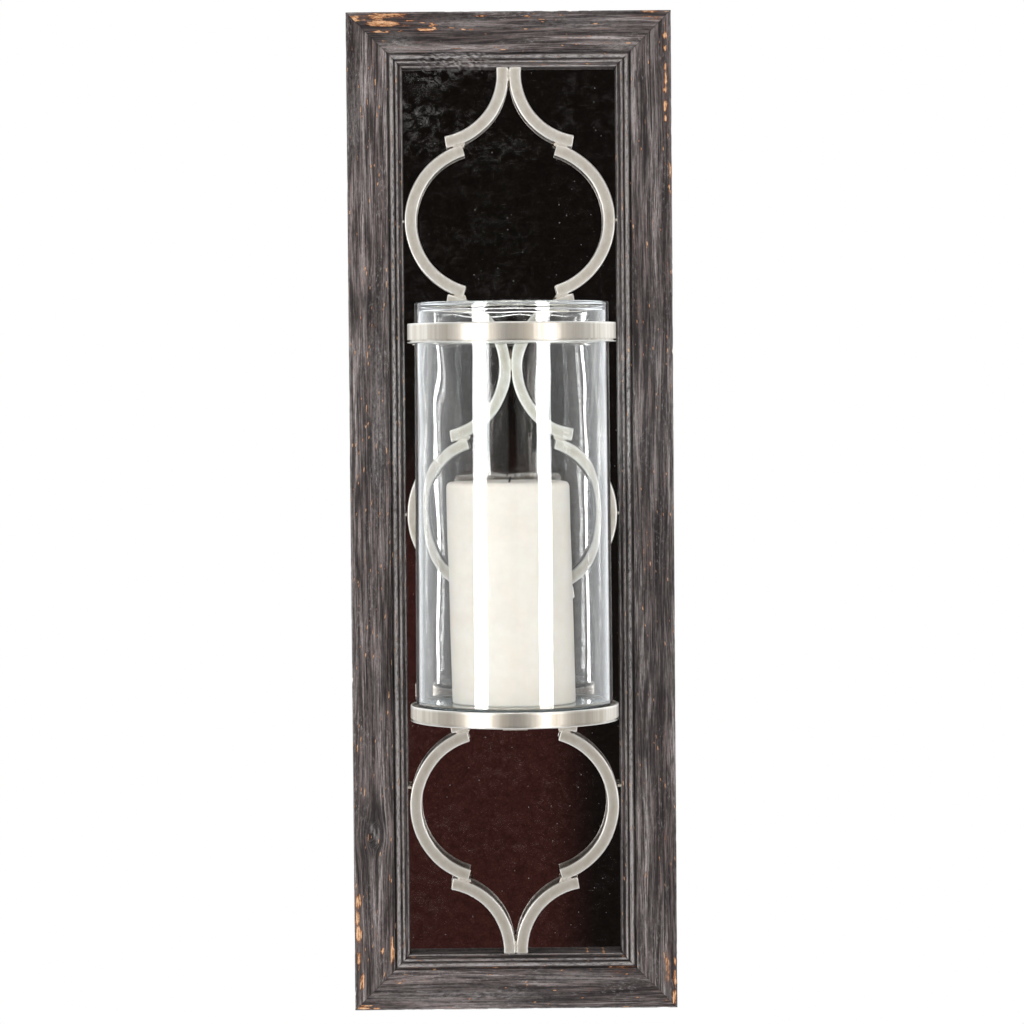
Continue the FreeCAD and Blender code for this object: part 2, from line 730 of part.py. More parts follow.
def build():
    picture_frame()
    mirror_panel()
    backing_board()
    corner_nails()
    retainer_brads()
    for side, sign in SIDES.items():
        hanger_plate(f"{side}_hanger_plate", sign)
        scroll_bars(side, sign)
    hanger_screws()
    scroll_welds()
    scroll_pins()
    hoop("upper_ring", "RingBottom", "RingHeight")
    hoop_welds("ring_welds", "RingWeldInner", "RingWeldOuter", "RingBottom + WeldInset", "RingHeight - 2 * WeldInset")
    hoop("tray_rim", "TrayBottom", "TrayHeight")
    hoop_welds("tray_welds", "TrayWeldInner", "TrayWeldOuter", "TrayBottom + WeldInset", "TrayHeight - 2 * WeldInset")
    tray_floor()
    tray_bracket()
    hurricane_glass()
    pillar_candle()
    candle_wick()
    doc.recompute()


def check_and_export():
    for item in doc.Objects:
        if "Invalid" in item.State or "Error" in item.State:
            raise RuntimeError(f"{item.Label} failed: {item.State}")
    for item in parts:
        if item.Shape.isNull() or not item.Shape.isValid() or not item.Shape.Solids:
            raise RuntimeError(f"{item.Label} has no valid solid")
    os.makedirs("parts", exist_ok=True)
    for item in parts:
        item.Shape.exportStep(f"parts/{item.Label}.step")
        print(f"{item.Label:32s} {len(item.Shape.Solids):3d} solids {item.Shape.Volume:12.1f} mm3")


build()
check_and_export()
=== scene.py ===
"""The looks of the wall sconce: weathered frame, antiqued mirror, satin scroll, hurricane glass and candle.

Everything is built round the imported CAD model, in its frame: +Z up, the front faces -Y, and the origin is
the centre of the back. Sizes are millimetres until a mesh is made.
"""

import itertools
import json
import math
from types import SimpleNamespace

import bmesh
import bpy
import numpy as np
from mathutils import Matrix, Vector, kdtree, noise


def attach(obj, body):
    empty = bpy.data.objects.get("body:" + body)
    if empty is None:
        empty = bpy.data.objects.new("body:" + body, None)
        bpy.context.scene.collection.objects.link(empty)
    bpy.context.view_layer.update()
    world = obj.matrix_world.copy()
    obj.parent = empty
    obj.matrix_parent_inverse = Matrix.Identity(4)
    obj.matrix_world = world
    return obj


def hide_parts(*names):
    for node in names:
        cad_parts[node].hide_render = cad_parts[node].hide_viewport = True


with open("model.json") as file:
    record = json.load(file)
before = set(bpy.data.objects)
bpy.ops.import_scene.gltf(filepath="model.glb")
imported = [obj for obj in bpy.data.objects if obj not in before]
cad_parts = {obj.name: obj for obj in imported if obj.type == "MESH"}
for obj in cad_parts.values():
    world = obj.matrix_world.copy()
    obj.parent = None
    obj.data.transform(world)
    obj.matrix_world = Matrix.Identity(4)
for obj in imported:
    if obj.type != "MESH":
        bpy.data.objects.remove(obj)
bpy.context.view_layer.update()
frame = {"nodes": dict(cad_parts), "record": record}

SLOTS = {row["node"]: row["material_slot"] for row in frame["record"]["subparts"]}
MM = 0.001

# sizes that the CAD source sets
FRAME_WIDTH, FRAME_HEIGHT, FRAME_DEPTH = 206, 635, 24
MOULDING_WIDTH, RABBET_WIDTH, MIRROR_FRONT = 35, 6, 7
FACE_WIDTH, QUIRK_WIDTH, QUIRK_DEPTH = 25.8, 1.3, 2.6
BIG_BEAD, BIG_BEAD_DROP, BEAD_GAP = 1.45, 0.4, 0.7
SMALL_BEAD, SMALL_BEAD_DROP, COVE = 1.0, 1.1, 1.3
CORNER_ROUNDING, LIP_ROUNDING = 1.0, 0.4
PLATE_X, PLATE_Z, PLATE_WIDTH, PLATE_LENGTH, PLATE_THICKNESS = 88.5, 262, 16, 42, 2
POCKET_WIDTH, POCKET_LOW, POCKET_HIGH, POCKET_DEPTH = 13, -10.5, 12.5, 9
SCROLL_FRONT, SCROLL_CENTRE, HALF_PITCH = 20.5, -1, 93.1
BULB_RADIUS, BULB_CENTRE, BULB_HALF_SPAN, ARCH_HALF_SPAN = 50.6, 16.4, 74, 80.7
BAR_WIDTH, BAR_THICKNESS = 7.65, 3
HOOP_RADIUS, HOOP_WALL = 64.5, 1.5
RING_BOTTOM, RING_HEIGHT, TRAY_BOTTOM, TRAY_HEIGHT = 107.5, 12, -126.2, 10.1
AXIS_Y = -SCROLL_FRONT - HOOP_RADIUS
ARCH_RADIUS = (BULB_CENTRE ** 2 + HALF_PITCH ** 2 - BULB_RADIUS ** 2) / (2 * (BULB_RADIUS + BULB_CENTRE))
TRAY_FLOOR_TOP = -117.6
GLASS_HEIGHT, GLASS_RIM, GLASS_HEEL, GLASS_WALL, GLASS_BASE = 250, 60, 61, 2.4, 2.3
CANDLE_RADIUS, CANDLE_HEIGHT = 38.25, 137.3

# sizes that only the looks need
BAR_ROUNDING, END_ROUNDING, HOOP_ROUNDING = 0.95, 0.7, 0.6
GLASS_SEGMENTS, CANDLE_SEGMENTS, HOOP_SEGMENTS = 192, 128, 160
LUMP_SINK = 0.25


# ---------------------------------------------------------------- meshes

def make_object(name, points, faces, material, body, sharp_angle=40):
    """A mesh object from points in millimetres, that rides on a CAD body."""
    mesh = bpy.data.meshes.new(name)
    mesh.from_pydata((np.asarray(points, float) * MM).tolist(), [], faces)
    tidy = bmesh.new()
    tidy.from_mesh(mesh)
    bmesh.ops.remove_doubles(tidy, verts=tidy.verts, dist=1e-6)
    bmesh.ops.recalc_face_normals(tidy, faces=tidy.faces)
    tidy.to_mesh(mesh)
    tidy.free()
    mesh.polygons.foreach_set("use_smooth", [True] * len(mesh.polygons))
    mesh.set_sharp_from_angle(angle=math.radians(sharp_angle))
    mesh.materials.append(material)
    item = bpy.data.objects.new(name, mesh)
    bpy.context.scene.collection.objects.link(item)
    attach(item, body)
    return item


def grid_faces(rows, columns):
    """Quads between rows of points. Each row is a closed loop of the same number of points."""
    return [(row * columns + column, row * columns + (column + 1) % columns,
             (row + 1) * columns + (column + 1) % columns, (row + 1) * columns + column)
            for row in range(rows - 1) for column in range(columns)]


def end_faces(count, columns):
    """The two faces that close a swept mesh of count points, with the same number of points in each row."""
    return [tuple(range(columns))[::-1], tuple(range(count - columns, count))]


def line(start, end, step):
    """Points from start to end, without the first."""
    count = max(1, round(math.dist(start, end) / step))
    return [tuple(start[axis] + (end[axis] - start[axis]) * index / count for axis in (0, 1))
            for index in range(1, count + 1)]


def arc(centre, radius, start, end, steps):
    """Points of an arc between two angles in degrees, without the first."""
    return [(centre[0] + radius * math.cos(angle), centre[1] + radius * math.sin(angle))
            for angle in np.radians(np.linspace(start, end, steps + 1))[1:]]


def smoothstep(low, high, value):
    """A smooth step from 0 at low to 1 at high."""
    share = np.clip((np.asarray(value, float) - low) / (high - low), 0, 1)
    return share * share * (3 - 2 * share)


def noise_at(x, y, seed):
    """Smooth noise from about -1 to 1 at each pair of coordinates."""
    flat_x, flat_y = np.broadcast_arrays(x, y)
    values = [noise.noise(Vector((a, b, seed))) for a, b in zip(flat_x.ravel(), flat_y.ravel())]
    return np.array(values).reshape(flat_x.shape)


def lathe(name, profile, segments, material, body, warp):
    """Turn a closed profile of (radius, height) points about the glass's axis.

    warp takes the radius, height and turn of every point and gives its radius, height and shift along X.
    """
    turns = np.linspace(0, 2 * math.pi, segments, endpoint=False)
    radius, height = np.array(profile, float).T
    radius, turn = np.meshgrid(radius, turns, indexing="ij")
    height = np.repeat(height[:, None], segments, axis=1)
    radius, height, shift = warp(radius, height, turn)
    points = np.stack([shift + radius * np.cos(turn), AXIS_Y + radius * np.sin(turn), height], axis=-1)
    return make_object(name, points.reshape(-1, 3), grid_faces(len(profile), segments), material, body)


# ---------------------------------------------------------------- shader nodes

def connect(tree, socket, value):
    """Join a node or a socket to the socket, or set the socket to a value."""
    if isinstance(value, bpy.types.Node):
        value = value.outputs[0]
    if isinstance(value, bpy.types.NodeSocket):
        tree.links.new(value, socket)
    else:
        socket.default_value = value


def add(tree, kind, inputs=None, **settings):
    """A node with its settings, and its inputs set to a value or joined to another node."""
    node = tree.nodes.new(f"ShaderNode{kind}")
    for name, value in settings.items():
        setattr(node, name, value)
    for key, value in (inputs or {}).items():
        connect(tree, node.inputs[key], value)
    return node


def calculate(tree, operation, first, second=0.0, third=0.0, clamp=False):
    """One Math node."""
    return add(tree, "Math", {0: first, 1: second, 2: third}, operation=operation, use_clamp=clamp)


def between(tree, value, low, high, to_low=0.0, to_high=1.0):
    """A smooth step of value, from to_low at low to to_high at high."""
    return add(tree, "MapRange", {"Value": value, "From Min": low, "From Max": high,
                                  "To Min": to_low, "To Max": to_high}, interpolation_type="SMOOTHSTEP")


def stretched_noise(tree, vector, scale, detail=3.0, roughness=0.55, distortion=0.0):
    """Noise whose grain runs along the axes with the small scales."""
    mapping = add(tree, "Mapping", {"Vector": vector, "Scale": scale})
    return add(tree, "TexNoise", {"Vector": mapping, "Scale": 1.0, "Detail": detail, "Roughness": roughness,
                                  "Distortion": distortion})


def ramp(tree, factor, *stops):
    """A colour ramp through (position, (red, green, blue)) stops."""
    node = add(tree, "ValToRGB", {"Fac": factor})
    elements = node.color_ramp.elements
    while len(elements) < len(stops):
        elements.new(0.5)
    for element, (position, colour) in zip(elements, stops):
        element.position = position
        element.color = (*colour, 1)
    return node


def blend_colour(tree, factor, first, second, mode="MIX"):
    """The first colour where factor is 0 and the second where it is 1."""
    node = add(tree, "Mix", data_type="RGBA", blend_type=mode)
    for key, value in ((0, factor), (6, first), (7, second)):
        connect(tree, node.inputs[key], (*value, 1) if isinstance(value, tuple) else value)
    return node.outputs[2]


def times(tree, first, second, clamp=False):
    return calculate(tree, "MULTIPLY", first, second, clamp=clamp)


def larger(tree, first, second):
    return calculate(tree, "MAXIMUM", first, second)


def weighted(tree, *terms):
    """The sum of value times weight over the (value, weight) terms."""
    total = 0.0
    for value, weight in reversed(terms):
        total = calculate(tree, "MULTIPLY_ADD", value, weight, total)
    return total


def parts_of(tree, vector):
    """The X, Y and Z outputs of a vector."""
    return add(tree, "SeparateXYZ", {"Vector": vector}).outputs


def kept_values(tree, name):
    """The three values that store() kept at each vertex."""
    return add(tree, "Attribute", attribute_name=name).outputs["Vector"]


def new_material(name, **values):
    """A material with its shader's own sockets set."""
    material = bpy.data.materials.new(name)
    material.use_nodes = True
    tree = material.node_tree
    shader = tree.nodes["Principled BSDF"]
    for key, value in values.items():
        value = (*value, 1) if isinstance(value, tuple) else value
        shader.inputs[key.replace("_", " ")].default_value = value
    return material, tree, shader


def drive(tree, shader, **links):
    """Join nodes to the shader's sockets."""
    for key, value in links.items():
        connect(tree, shader.inputs[key.replace("_", " ")], value)


def bump(tree, height, distance, strength=1.0):
    """A bumped normal. Distance is in millimetres."""
    return add(tree, "Bump", {"Height": height, "Distance": distance * MM, "Strength": strength})


def place_of(tree):
    """The row frame's coordinates in millimetres."""
    coordinates = add(tree, "TexCoord")
    return add(tree, "Mapping", {"Vector": coordinates.outputs["Object"], "Scale": (1 / MM, 1 / MM, 1 / MM)})


def spread(tree, value, low, high):
    """Most of a noise lies between low and high: stretch that part to the range from 0 to 1."""
    return add(tree, "MapRange", {"Value": value, "From Min": low, "From Max": high})


def even_noise(tree, vector, scale, low, high, **settings):
    """Stretched noise, spread so that it fills the range from 0 to 1."""
    return spread(tree, stretched_noise(tree, vector, scale, **settings), low, high)


def spots(tree, vector, scale, near, far):
    """Round dots scattered through space: 1 closer to a dot's centre than near, 0 beyond far."""
    cells = add(tree, "TexVoronoi", {"Vector": vector, "Scale": scale, "Randomness": 1.0}, feature="F1")
    return between(tree, cells.outputs["Distance"], near, far, 1.0, 0.0)


# ---------------------------------------------------------------- materials

def wood_layers(tree, grain):
    """Noises along the grain, from broad boards to fine flecks, each from 0 to 1."""
    boards = even_noise(tree, grain, (0.13, 0.006, 1), 0.34, 0.66)
    streaks = even_noise(tree, grain, (0.50, 0.018, 1), 0.32, 0.68, detail=5, roughness=0.66)
    hairs = even_noise(tree, grain, (1.5, 0.05, 1), 0.30, 0.70, roughness=0.6)
    flecks = even_noise(tree, grain, (0.80, 0.26, 1), 0.28, 0.72, detail=5, roughness=0.75)
    return boards, streaks, hairs, flecks


def stained_colour(tree, grain, tone, layers):
    """Charcoal stain over the grain, with dry-brushed greys, combed hairs, growth rings and cracks."""
    boards, streaks, hairs, flecks = layers
    clouds = even_noise(tree, grain, (0.06, 0.022, 1), 0.32, 0.68, detail=4, roughness=0.6)
    colour = ramp(tree, tone,
                  (0.18, (0.010, 0.006, 0.006)), (0.36, (0.036, 0.026, 0.025)), (0.49, (0.090, 0.071, 0.068)),
                  (0.60, (0.190, 0.158, 0.152)), (0.73, (0.48, 0.44, 0.43)))

    brushed = times(tree, between(tree, flecks, 0.55, 0.95), between(tree, clouds, 0.40, 0.80))
    colour = blend_colour(tree, times(tree, brushed, 0.75), colour, (0.34, 0.32, 0.315))
    combed = even_noise(tree, grain, (2.6, 0.022, 1), 0.30, 0.70, detail=2)
    combed = times(tree, between(tree, combed, 0.70, 0.90), between(tree, boards, 0.20, 0.60))
    colour = blend_colour(tree, times(tree, combed, 0.50), colour, (0.34, 0.31, 0.305))

    growth = times(tree, stretched_noise(tree, grain, (0.11, 0.0045, 1), detail=2), 15.0)
    rings = between(tree, calculate(tree, "PINGPONG", growth, 0.5), 0.03, 0.20, 1.0, 0.0)
    soot = times(tree, between(tree, clouds, 0.45, 0.10), between(tree, streaks, 0.80, 0.35))
    soot = larger(tree, soot, times(tree, rings, 0.75))
    colour = blend_colour(tree, times(tree, soot, 0.65), colour, (0.014, 0.009, 0.009))
    cracks = even_noise(tree, grain, (1.25, 0.015, 1), 0.30, 0.70)
    return blend_colour(tree, between(tree, cracks, 0.34, 0.16, 0.0, 0.9), colour, (0.010, 0.006, 0.006))


def worn_through(tree, colour, bare, layers):
    """The stain chipped through to pine where bare is high, and the raw sawn back; with the chipped mask."""
    boards, streaks, hairs, flecks = layers
    wear_and_highlit = weighted(tree, (streaks, 0.9), (hairs, 0.8), (flecks, 0.7))
    ragged = calculate(tree, "ADD", bare, calculate(tree, "SUBTRACT", wear_and_highlit, 1.34))
    halo = between(tree, ragged, 0.12, 0.50)
    colour = blend_colour(tree, times(tree, halo, 0.8), colour, (0.085, 0.030, 0.018))
    chipped = between(tree, ragged, 0.48, 0.66)
    pine = ramp(tree, weighted(tree, (ragged, 0.6), (flecks, 0.3)),
                (0.34, (0.17, 0.052, 0.018)), (0.52, (0.38, 0.15, 0.058)), (0.70, (0.62, 0.33, 0.16)),
                (0.90, (0.80, 0.52, 0.33)))
    colour = blend_colour(tree, chipped, colour, pine)
    sawn = ramp(tree, weighted(tree, (boards, 0.5), (streaks, 0.5)),
                (0.25, (0.29, 0.185, 0.105)), (0.50, (0.39, 0.265, 0.160)), (0.75, (0.46, 0.325, 0.205)))
    return blend_colour(tree, between(tree, bare, 1.0, 1.3), colour, sawn), chipped


def weathered_wood():
    """Charcoal stain over brushed grain, grimy and paler with wear in places, chipped through to bare pine,
    with painted highlights and painted shade.
    """
    material, tree, shader = new_material("weathered_wood")
    grain = kept_values(tree, "grain")
    bare, rubbed, dark = parts_of(tree, kept_values(tree, "marks"))
    layers = boards, streaks, hairs, flecks = wood_layers(tree, grain)
    tone = weighted(tree, (boards, 0.22), (streaks, 0.38), (hairs, 0.24), (flecks, 0.16))
    colour = stained_colour(tree, grain, tone, layers)

    # Paler with wear, and a painted highlight on the bead crowns, corners and nicks; darker with grime and
    # smudges, and painted shade in the quirks, the cove and the dents.
    rub = times(tree, rubbed, between(tree, flecks, 0.15, 0.80, 0.15, 1.0), clamp=True)
    colour = blend_colour(tree, rub, colour, (0.42, 0.40, 0.39))
    dirt = times(tree, dark, between(tree, hairs, 0.2, 0.8, 1.0, 0.75))
    colour = blend_colour(tree, dirt, colour, (0.007, 0.005, 0.005))
    colour, chipped = worn_through(tree, colour, bare, layers)

    relief = weighted(tree, (streaks, 0.5), (hairs, 0.3), (flecks, 0.35), (chipped, -0.5))
    drive(tree, shader, Base_Color=colour, Normal=bump(tree, relief, 0.35, 0.85),
          Roughness=between(tree, tone, 0.25, 0.75, 0.74, 0.52))
    shader.inputs["Specular IOR Level"].default_value = 0.32
    return material


def crazed_silver(tree, place, clouds, fine):
    """The silvering's own colour: cloudy greys crossed by a net of darker lines."""
    crazing = add(tree, "TexVoronoi", {"Vector": place, "Scale": 0.42, "Randomness": 1.0},
                  feature="DISTANCE_TO_EDGE")
    lines = between(tree, crazing.outputs["Distance"], 0.02, 0.16, 1.0, 0.0)
    colour = ramp(tree, clouds,
                  (0.1, (0.38, 0.36, 0.35)), (0.5, (0.57, 0.55, 0.54)), (0.9, (0.76, 0.74, 0.73)))
    colour = blend_colour(tree, times(tree, lines, 0.35), colour, (0.22, 0.20, 0.19))
    return blend_colour(tree, times(tree, fine, 0.45), colour, (0.26, 0.23, 0.22))


def specks_and_scratches(tree, place, clouds):
    """Pin specks, and fine scratches along and across the mirror."""
    ripple = add(tree, "TexNoise", {"Vector": place, "Scale": 0.8, "Detail": 3.0}).outputs["Color"]
    wobble = add(tree, "VectorMath", {0: place, 1: ripple}, operation="ADD")
    speck = spots(tree, wobble, 0.16, 0.035, 0.070)
    across = even_noise(tree, place, (0.03, 0.03, 2.4), 0.3, 0.7, detail=2, distortion=0.15)
    upright = even_noise(tree, place, (2.0, 2.0, 0.02), 0.3, 0.7, detail=2, distortion=0.15)
    scratch = larger(tree, between(tree, across, 0.97, 1.0), between(tree, upright, 0.97, 1.0))
    scratch = times(tree, scratch, between(tree, clouds, 0.5, 0.8))
    return larger(tree, times(tree, speck, 0.42), times(tree, scratch, 0.12))


def antiqued_mirror():
    """Silvering that has crazed, and has clouded towards the top left corner."""
    material, tree, shader = new_material("antiqued_mirror")
    place = place_of(tree)
    patches = even_noise(tree, place, (0.022, 0.022, 0.026), 0.3, 0.7, detail=4, roughness=0.6)
    clouds = even_noise(tree, place, (0.15, 0.15, 0.17), 0.3, 0.7, detail=8, roughness=0.72, distortion=0.8)
    fine = even_noise(tree, place, (0.7, 0.7, 0.8), 0.3, 0.7, detail=5, roughness=0.7)

    parts = parts_of(tree, place)
    clouded_corner = times(tree, between(tree, parts["Z"], 212, 262, 0.10, 1.0),
                           between(tree, parts["X"], 40, -30, 0.35, 1.0))
    haze = times(tree, between(tree, patches, 0.30, 0.80), between(tree, clouds, 0.38, 0.90))
    haze = times(tree, haze, between(tree, fine, 0.1, 0.9, 0.45, 1.0))
    haze = times(tree, haze, clouded_corner)
    clouded = larger(tree, times(tree, haze, 0.36), specks_and_scratches(tree, place, clouds))
    colour = blend_colour(tree, clouded, crazed_silver(tree, place, clouds, fine), (0.42, 0.43, 0.45))
    drive(tree, shader, Base_Color=colour,
          Metallic=calculate(tree, "SUBTRACT", 1.0, clouded, clamp=True),
          Roughness=between(tree, haze, 0.0, 0.5, 0.02, 0.12))
    return material


def satin_metal(name, patch_scale, roughest, smoothest):
    """Champagne nickel over steel: granular, in warmer patches, browner lower down, with a painted highlight
    on its edges.
    """
    material, tree, shader = new_material(name, Metallic=1.0)
    place = place_of(tree)
    grit = stretched_noise(tree, place, (3.5, 3.5, 3.5), roughness=0.7)
    patches = stretched_noise(tree, place, patch_scale, detail=4, roughness=0.6)
    colour = ramp(tree, patches, (0.36, (0.48, 0.43, 0.36)), (0.52, (0.59, 0.545, 0.475)),
                  (0.68, (0.70, 0.665, 0.605)))
    colour = blend_colour(tree, between(tree, grit, 0.35, 0.65, 0.0, 0.30), colour, (0.46, 0.41, 0.35))
    lower = between(tree, parts_of(tree, place)["Z"], 120, -160, 0.0, 0.22)
    colour = blend_colour(tree, lower, colour, (0.30, 0.25, 0.19))
    # Painted highlight: the rounded edges, the sides of wide faces and the bar ends are painted near white.
    rubbed = parts_of(tree, kept_values(tree, "rubbed"))["X"]
    colour = blend_colour(tree, times(tree, rubbed, 0.80), colour, (0.97, 0.96, 0.93))
    drive(tree, shader, Base_Color=colour, Normal=bump(tree, grit, 0.03, 0.6),
          Roughness=between(tree, patches, 0.3, 0.7, roughest, smoothest))
    return material


def gritty_crust(name, metallic, grit_scale, low, high, smoothest, roughest):
    """A lumpy skin over a weld, from a low to a high (position, colour) stop."""
    material, tree, shader = new_material(name, Metallic=metallic)
    grit = stretched_noise(tree, place_of(tree), (grit_scale,) * 3, detail=4, roughness=0.7)
    drive(tree, shader, Base_Color=ramp(tree, grit, low, high), Normal=bump(tree, grit, 0.15, 0.7),
          Roughness=between(tree, grit, 0.3, 0.7, smoothest, roughest))
    return material


def weld_metal():
    """The bars' finish where it is thick over a weld."""
    return gritty_crust("weld_metal", 0.9, 1.6, (0.35, (0.48, 0.42, 0.345)), (0.60, (0.67, 0.625, 0.56)),
                        0.35, 0.55)


def brown_flux():
    """What a torch leaves beside a weld: a thin dark brown crust."""
    return gritty_crust("brown_flux", 0.3, 2.2, (0.35, (0.030, 0.018, 0.011)), (0.65, (0.16, 0.11, 0.07)),
                        0.45, 0.70)


def clear_glass():
    """Clear glass, faintly blue-green where it is thick, which lets lamps shine through it."""
    material, tree, shader = new_material("clear_glass", Base_Color=(0.985, 0.995, 0.995), Roughness=0.0,
                                          IOR=1.5, Transmission_Weight=1.0, Sheen_Weight=0.20,
                                          Sheen_Roughness=0.20, Sheen_Tint=(0.82, 0.93, 1.0))
    ripple = stretched_noise(tree, place_of(tree), (0.03, 0.03, 0.012), detail=2)
    drive(tree, shader, Normal=bump(tree, ripple, 0.25, 0.35))
    shadow_ray = add(tree, "LightPath").outputs["Is Shadow Ray"]
    window = add(tree, "BsdfTransparent", {"Color": (0.93, 0.95, 0.95, 1)})
    depth = add(tree, "VolumeAbsorption", {"Color": (0.60, 0.87, 0.93, 1), "Density": 5.0})
    output = tree.nodes["Material Output"]
    connect(tree, output.inputs["Surface"], add(tree, "MixShader", {0: shadow_ray, 1: shader, 2: window}))
    connect(tree, output.inputs["Volume"], depth)
    return material


def candle_wax():
    """Ivory paraffin: soft light inside it, faint pour marks and small pits."""
    material, tree, shader = new_material("candle_wax", IOR=1.44, Subsurface_Weight=0.5,
                                          Subsurface_Scale=0.010)
    shader.inputs["Subsurface Radius"].default_value = (1.0, 0.70, 0.48)
    place = place_of(tree)
    bands = stretched_noise(tree, place, (0.01, 0.01, 0.06))
    mottle = stretched_noise(tree, place, (0.15, 0.15, 0.15), detail=5, roughness=0.65)
    pit = spots(tree, place, 0.16, 0.02, 0.05)
    colour = ramp(tree, weighted(tree, (bands, 0.5), (mottle, 0.5)),
                  (0.35, (0.56, 0.508, 0.452)), (0.65, (0.62, 0.578, 0.525)))
    colour = blend_colour(tree, times(tree, pit, 0.4), colour, (0.45, 0.36, 0.26))
    relief = calculate(tree, "SUBTRACT", mottle, pit)
    drive(tree, shader, Base_Color=colour, Normal=bump(tree, relief, 0.15, 0.5),
          Roughness=between(tree, mottle, 0.3, 0.7, 0.42, 0.56))
    return material


def charred_cotton():
    """A burnt wick: black cotton with slightly paler strands."""
    material, tree, shader = new_material("charred_cotton")
    strands = add(tree, "TexWave", {"Vector": place_of(tree), "Scale": 0.55, "Distortion": 2.0,
                                    "Detail": 3.0}, bands_direction="DIAGONAL")
    colour = ramp(tree, strands, (0.2, (0.008, 0.007, 0.006)), (0.9, (0.05, 0.042, 0.035)))
    drive(tree, shader, Base_Color=colour, Normal=bump(tree, strands, 0.2),
          Roughness=between(tree, strands, 0.0, 1.0, 0.95, 0.75))
    return material


def zinc_steel():
    """Zinc plating with a faint spangle."""
    material, tree, shader = new_material("zinc_steel", Metallic=1.0)
    place = place_of(tree)
    spangle = add(tree, "TexVoronoi", {"Vector": place, "Scale": 0.35, "Randomness": 1.0}, feature="F1")
    film = stretched_noise(tree, place, (0.4, 0.4, 0.4), detail=4, roughness=0.6)
    colour = ramp(tree, film, (0.3, (0.40, 0.39, 0.36)), (0.7, (0.66, 0.66, 0.64)))
    colour = blend_colour(tree, 0.25, colour, spangle.outputs["Color"], "SOFT_LIGHT")
    drive(tree, shader, Base_Color=colour, Normal=bump(tree, film, 0.05, 0.4),
          Roughness=between(tree, film, 0.3, 0.7, 0.30, 0.48))
    return material


def fibreboard():
    """Brown hardboard: matted fibres with darker flecks."""
    material, tree, shader = new_material("fibreboard")
    place = place_of(tree)
    fibres = stretched_noise(tree, place, (1.2, 1.2, 0.5), detail=6, roughness=0.75, distortion=1.2)
    patches = stretched_noise(tree, place, (0.02, 0.02, 0.02))
    flecks = stretched_noise(tree, place, (0.9, 0.9, 0.9), roughness=0.8)
    colour = ramp(tree, weighted(tree, (fibres, 0.7), (patches, 0.3)),
                  (0.35, (0.17, 0.098, 0.052)), (0.5, (0.27, 0.170, 0.095)), (0.66, (0.40, 0.27, 0.165)))
    colour = blend_colour(tree, between(tree, flecks, 0.64, 0.72, 0.0, 0.6), colour, (0.09, 0.05, 0.03))
    drive(tree, shader, Base_Color=colour, Normal=bump(tree, fibres, 0.15, 0.7),
          Roughness=between(tree, fibres, 0.3, 0.7, 0.85, 0.65))
    return material


# ---------------------------------------------------------------- frame members

# Places where the stain is gone, as (from, to) along the member, then (from, to) from its outer edge.
# Stiles are measured along Z and rails along X.
CHIPS = {
    "top_rail": [(-89, -63, 1.0, 3.2), (-89, -78, 3.1, 5.0), (-89.5, -68.5, 5.8, 9.4),
                 (-101, -95, 2.6, 7.6), (-86, -80, 11.8, 13.2), (-78, -75.5, 11.6, 13.2),
                 (-70, -67, 11.4, 12.8), (-59, -46.5, 10.6, 12.6), (-49, -46.3, 6.4, 11),
                 (-22.5, -12, 2.4, 3.8), (-66, -60, 5.2, 6.4), (10, 14, 3, 4.4), (83, 97, 0.3, 1.8)],
    "right_stile": [(299, 303, 2.6, 5.4), (291, 295, 2.8, 5.2), (279, 284, 3.0, 5.0),
                    (271, 277.5, 2.8, 4.8), (265, 269.5, 3.0, 5.2), (252, 261, 2.8, 5.0),
                    (247, 250.5, 3.4, 5.2), (211, 220, 0.3, 1.9), (-316, -305, 0.3, 3.2),
                    (-303, -294, 0.3, 2.6), (-292, -285, 0.3, 2.0)],
    "left_stile": [(-252, -243, 1.4, 4.6), (-262, -254, 0.8, 3.6), (-273, -264, 1.0, 5.2),
                   (-288, -280, 0.8, 4.4), (-304, -294, 3.2, 6.2), (-289, -272, 23.2, 25.6),
                   (-282, -277, 16.8, 18.6)],
    "bottom_rail": [(-102, -94, 0.5, 3.2), (-92, -86, 0.5, 2.2), (82, 87, 21, 26)],
}
# Reddish places where the stain is thin, in the same measures.
THIN_STAIN = {
    "right_stile": [(240, 306, 0.2, 4.6), (190, 236, 0.2, 2.2), (-305, -276, 2, 9)],
    "left_stile": [(-308, -236, 0.2, 5)],
    "bottom_rail": [(58, 78, 22, 27.5), (-102, -80, 0.2, 5)],
    "top_rail": [(76, 101, 0.2, 5), (-101, -40, 0.5, 9)],
}
# Dark blurs: (along, from the outer edge, half length, half width, how strong). Most are smudges; the first
# right_stile blur, over the whole stile, is painted shade.
SMUDGES_AND_SHADE = {
    "left_stile": [(136, 13, 9, 14, 0.6), (-205, 13.2, 17, 9, 1.0), (-214, 8, 13, 6, 0.75),
                   (-226, 7, 22, 4, 0.55), (296, 6, 9, 3, 0.6), (272, 2.5, 20, 1.6, 0.5),
                   (40, 9, 60, 1.2, 0.45), (-90, 20, 70, 1.4, 0.45)],
    "top_rail": [(-12, 18.5, 34, 3.2, 0.62), (38, 13, 40, 1.6, 0.5), (-64, 10, 30, 4, 0.3),
                 (20, 7.5, 50, 1.2, 0.5), (-60, 17, 24, 1.5, 0.5)],
    # First a painted shade over the whole right stile, then smudges.
    "right_stile": [(0, 12, 600, 60, 0.3), (-40, 8, 70, 4, 0.45), (200, 20, 60, 4, 0.4),
                    (288, 22, 8, 3, 0.5), (90, 14, 60, 1.3, 0.5), (-180, 18, 70, 1.5, 0.45)],
    "bottom_rail": [(-40, 14, 40, 1.3, 0.5), (25, 6, 55, 1.6, 0.45), (60, 17, 30, 1.4, 0.5)],
}
